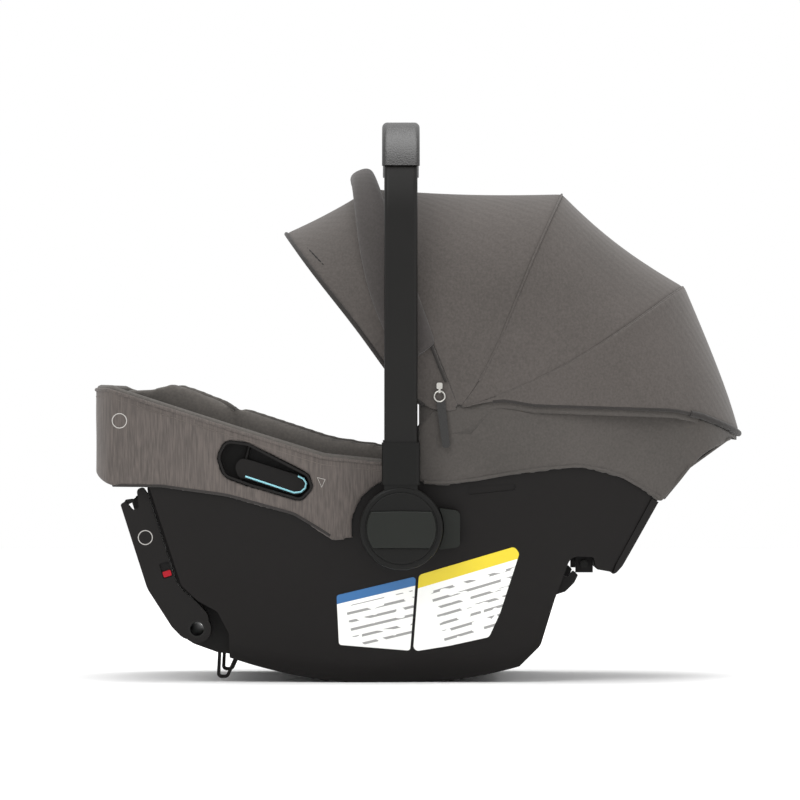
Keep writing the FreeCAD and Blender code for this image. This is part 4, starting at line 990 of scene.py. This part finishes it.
# ---------------------------------------------------------------- padding
@dataclass
class Padding:
    """Seat pad, infant insert, head support and shoulder pads."""

    channel_pitch: float = 46.0
    channel_depth: float = 2.2

    def quilt(self, place: Vector, normal: Vector) -> float:
        """Crowned channels across the pad, on its upper side only."""
        inward = -normal.x * place.x - normal.y * place.y + normal.z * 0.2
        fold = -4.5 * math.exp(-((place.x + 0.190) / 0.006) ** 2) if normal.z > -0.2 else 0.0
        if inward < 0 or abs(place.y) > 0.115:
            return fold * MM
        wave = abs(math.sin(math.pi * place.x * 1000 / self.channel_pitch))
        return (self.channel_depth * (wave ** 0.45 - 1.0) + fold) * MM

    def insert_swell(self, place: Vector, normal: Vector) -> float:
        """Puffed middle and a seam down each side of the insert."""
        if normal.z * 0.2 - normal.x * place.x - normal.y * place.y < 0:
            return 0.0
        seam = min(1.0, abs(abs(place.y) - 0.062) / 0.010)
        return (1.6 * seam ** 0.5 - 1.4 + 0.8 * noise.noise(place * 30.0)) * MM

    def build(self) -> None:
        """Make and dress the padding."""
        voxel = 0.0034
        pads = (
            ("seat_pad", "seat_pad_cloth", PAD_CLOTH, "pad_fabric", self.quilt, 0.6),
            ("infant_insert", "infant_insert_cloth", INSERT_CLOTH, "insert_fabric", self.insert_swell, 0.7),
            ("head_support", "head_support_cloth", INSERT_CLOTH, "insert_fabric", self.insert_swell, 0.8),
            ("shoulder_pads", "shoulder_pad_cloth", INSERT_CLOTH, "insert_fabric", self.insert_swell, 0.7),
        )
        for node, name, finish, slot, swell, fill in pads:
            made = dress(soft_copy(node, name, voxel, 6, swell), finish)
            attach(made, "shell")
            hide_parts(node)
            LOG.info("%s: %d faces", name, len(made.data.polygons))


# ---------------------------------------------------------------- harness
@dataclass
class Harness:
    """Webbing of the harness, as one nearly flat soft piece."""

    def build(self) -> None:
        """Make and dress the webbing."""
        def weave(place: Vector, _normal: Vector) -> float:
            """Nearly flat webbing."""
            return 0.0001 * noise.noise(place * 200.0)

        voxel = 0.0011
        made = dress(soft_copy("harness_webbing", "harness_webbing_cloth", voxel, 2, weave), WEBBING)
        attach(made, "shell")
        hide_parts("harness_webbing")
        LOG.info("harness_webbing_cloth: %d faces", len(made.data.polygons))


# ---------------------------------------------------------------- hard parts
@dataclass
class HardParts:
    """Finishes of the frame's own parts, and small trim on them."""

    finishes: dict[str, object] = field(default_factory=lambda: {
        "shell_tub": SHELL_PLASTIC, "support_ribs": SHELL_PLASTIC, "foam_liner": FOAM,
        "rear_cover": TRIM_PLASTIC, "label_guide": GUIDE_FILM, "label_warning": NOTICE_FILM,
        "chest_clip": TRIM_PLASTIC, "buckle_body": TRIM_PLASTIC, "buckle_button": RED_PLASTIC,
        "buckle_tongues": STEEL, "adjuster_frame": TRIM_PLASTIC, "adjuster_button": BUTTON_PLASTIC,
        "hub_sockets": HUB_PLASTIC, "hub_axles": STEEL, "hub_caps": HUB_PLASTIC, "button_springs": STEEL,
        "handle_hub_left": HUB_PLASTIC, "handle_hub_right": HUB_PLASTIC,
        "handle_button_left": BUTTON_PLASTIC, "handle_button_right": BUTTON_PLASTIC,
        "handle_tube": HANDLE_PLASTIC, "handle_grip": GRIP_SKIN, "canopy_pivots": TRIM_PLASTIC,
        "canopy_rear_bow": TRIM_PLASTIC, "canopy_mid_bow": TRIM_PLASTIC, "canopy_front_bow": TRIM_PLASTIC,
        "canopy_visor_bow": TRIM_PLASTIC, "zip_slider": STEEL, "zip_ring": STEEL, "zip_pull_tab": TAB_SKIN,
        "latch_arm_left": ARM_PLASTIC, "latch_arm_right": ARM_PLASTIC, "latch_hook_left": DARK_STEEL,
        "latch_hook_right": DARK_STEEL, "latch_slider_left": RED_PLASTIC, "latch_slider_right": RED_PLASTIC,
        "latch_cross_tube": DARK_STEEL, "latch_brackets": TRIM_PLASTIC, "release_pocket_left": TRIM_PLASTIC,
        "release_pocket_right": TRIM_PLASTIC, "release_lever_left": TRIM_PLASTIC,
        "release_lever_right": TRIM_PLASTIC, "stroller_button_left": BUTTON_PLASTIC,
        "stroller_button_right": BUTTON_PLASTIC, "front_foot_loops": TRIM_PLASTIC,
        "rear_brackets": TRIM_PLASTIC, "dock_bar": DARK_STEEL, "shell_screws": STEEL,
    })
    lever_line: tuple[tuple[float, float], ...] = (
        (-177, 212), (-168, 209), (-150, 203), (-127, 195.2), (-120, 196), (-115.5, 200), (-114.5, 205),
        (-117, 209.5), (-123, 212.5))
    arm_mark: tuple[float, float] = (-280.0, 149.0)
    arm_mark_radius: float = 7.2

    def build(self) -> None:
        """Dress the frame's parts and add the trim."""
        for node, finish in self.finishes.items():
            dress(frame["nodes"][node], finish)
        for side in Side:
            name = side.name.lower()
            skin = Skin(f"release_lever_{name}")
            line = []
            for x, z in self.lever_line:
                found = skin.beside(x * MM, z * MM, side)
                if found:
                    line.append(found[0])
            arm = Skin(f"latch_arm_{name}")
            ring = [arm.beside((self.arm_mark[0] + self.arm_mark_radius * math.cos(math.radians(a))) * MM,
                               (self.arm_mark[1] + self.arm_mark_radius * math.sin(math.radians(a))) * MM, side)
                    for a in range(0, 360, 10)]
            ring = [found[0] for found in ring if found]
            if len(ring) > 8:
                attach(dress(tube(ring, 0.5 * MM, f"printed_arm_ring_{name}", closed=True), PALE_PRINT),
                        "latch_arms")
            if len(line) > 1:
                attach(dress(tube(line, 1.1 * MM, f"lever_glow_line_{name}"), CYAN_PLASTIC),
                        f"release_lever_{name}")


# ---------------------------------------------------------------- studio
@dataclass
class Studio:
    """Plain pale floor, soft light and a long lens level with the seat's middle."""

    aim: Vector = field(default_factory=lambda: Vector((-0.0184, 0.0, 0.2903)))
    distance: float = 7.0
    lens: float = 300.0

    def build(self) -> None:
        """Make the floor, the lights and the camera."""
        scene = bpy.context.scene
        scene.view_settings.view_transform = "Standard"
        bm = bmesh.new()
        bmesh.ops.create_grid(bm, x_segments=1, y_segments=1, size=6.0)
        floor = piece_from(bm, "studio_floor", smooth=False)
        material, tree, shader = start_material("pale_floor_paint")
        shader.inputs["Base Color"].default_value = linear("FAFAFA")
        shader.inputs["Roughness"].default_value = 0.9
        floor.data.materials.append(material)
        world = bpy.data.worlds.new("soft_white")
        scene.world = world
        world.use_nodes = True
        background = world.node_tree.nodes["Background"]
        background.inputs["Color"].default_value = (1.0, 1.0, 1.0, 1.0)
        background.inputs["Strength"].default_value = 1.0
        for name, place, size, watts in (
                ("key_light", (-1.6, -3.2, 3.4), 2.4, 70.0), ("fill_light", (2.8, -2.6, 1.8), 2.4, 18.0),
                ("top_light", (0.2, 0.4, 3.6), 2.6, 90.0)):
            lamp = bpy.data.lights.new(name, "AREA")
            lamp.size = size
            lamp.energy = watts
            holder = bpy.data.objects.new(name, lamp)
            holder.location = place
            holder.rotation_euler = (self.aim - Vector(place)).to_track_quat("-Z", "Y").to_euler()
            scene.collection.objects.link(holder)
        camera = bpy.data.cameras.new("camera")
        camera.lens = self.lens
        camera.clip_end = 60.0
        holder = bpy.data.objects.new("camera", camera)
        holder.location = self.aim + Vector((0.0, -self.distance, 0.0))
        holder.rotation_euler = (math.radians(90), 0.0, 0.0)
        scene.collection.objects.link(holder)
        scene.camera = holder


def main() -> None:
    """Build every part of the seat in order."""
    logging.basicConfig(level=logging.INFO, format="%(name)s: %(message)s")
    for part in (Studio(), HardParts(), Canopy(), OuterCovers(), Padding(), Harness()):
        part.build()
        LOG.info("built %s", type(part).__name__)


if __name__ == "__main__":
    main()
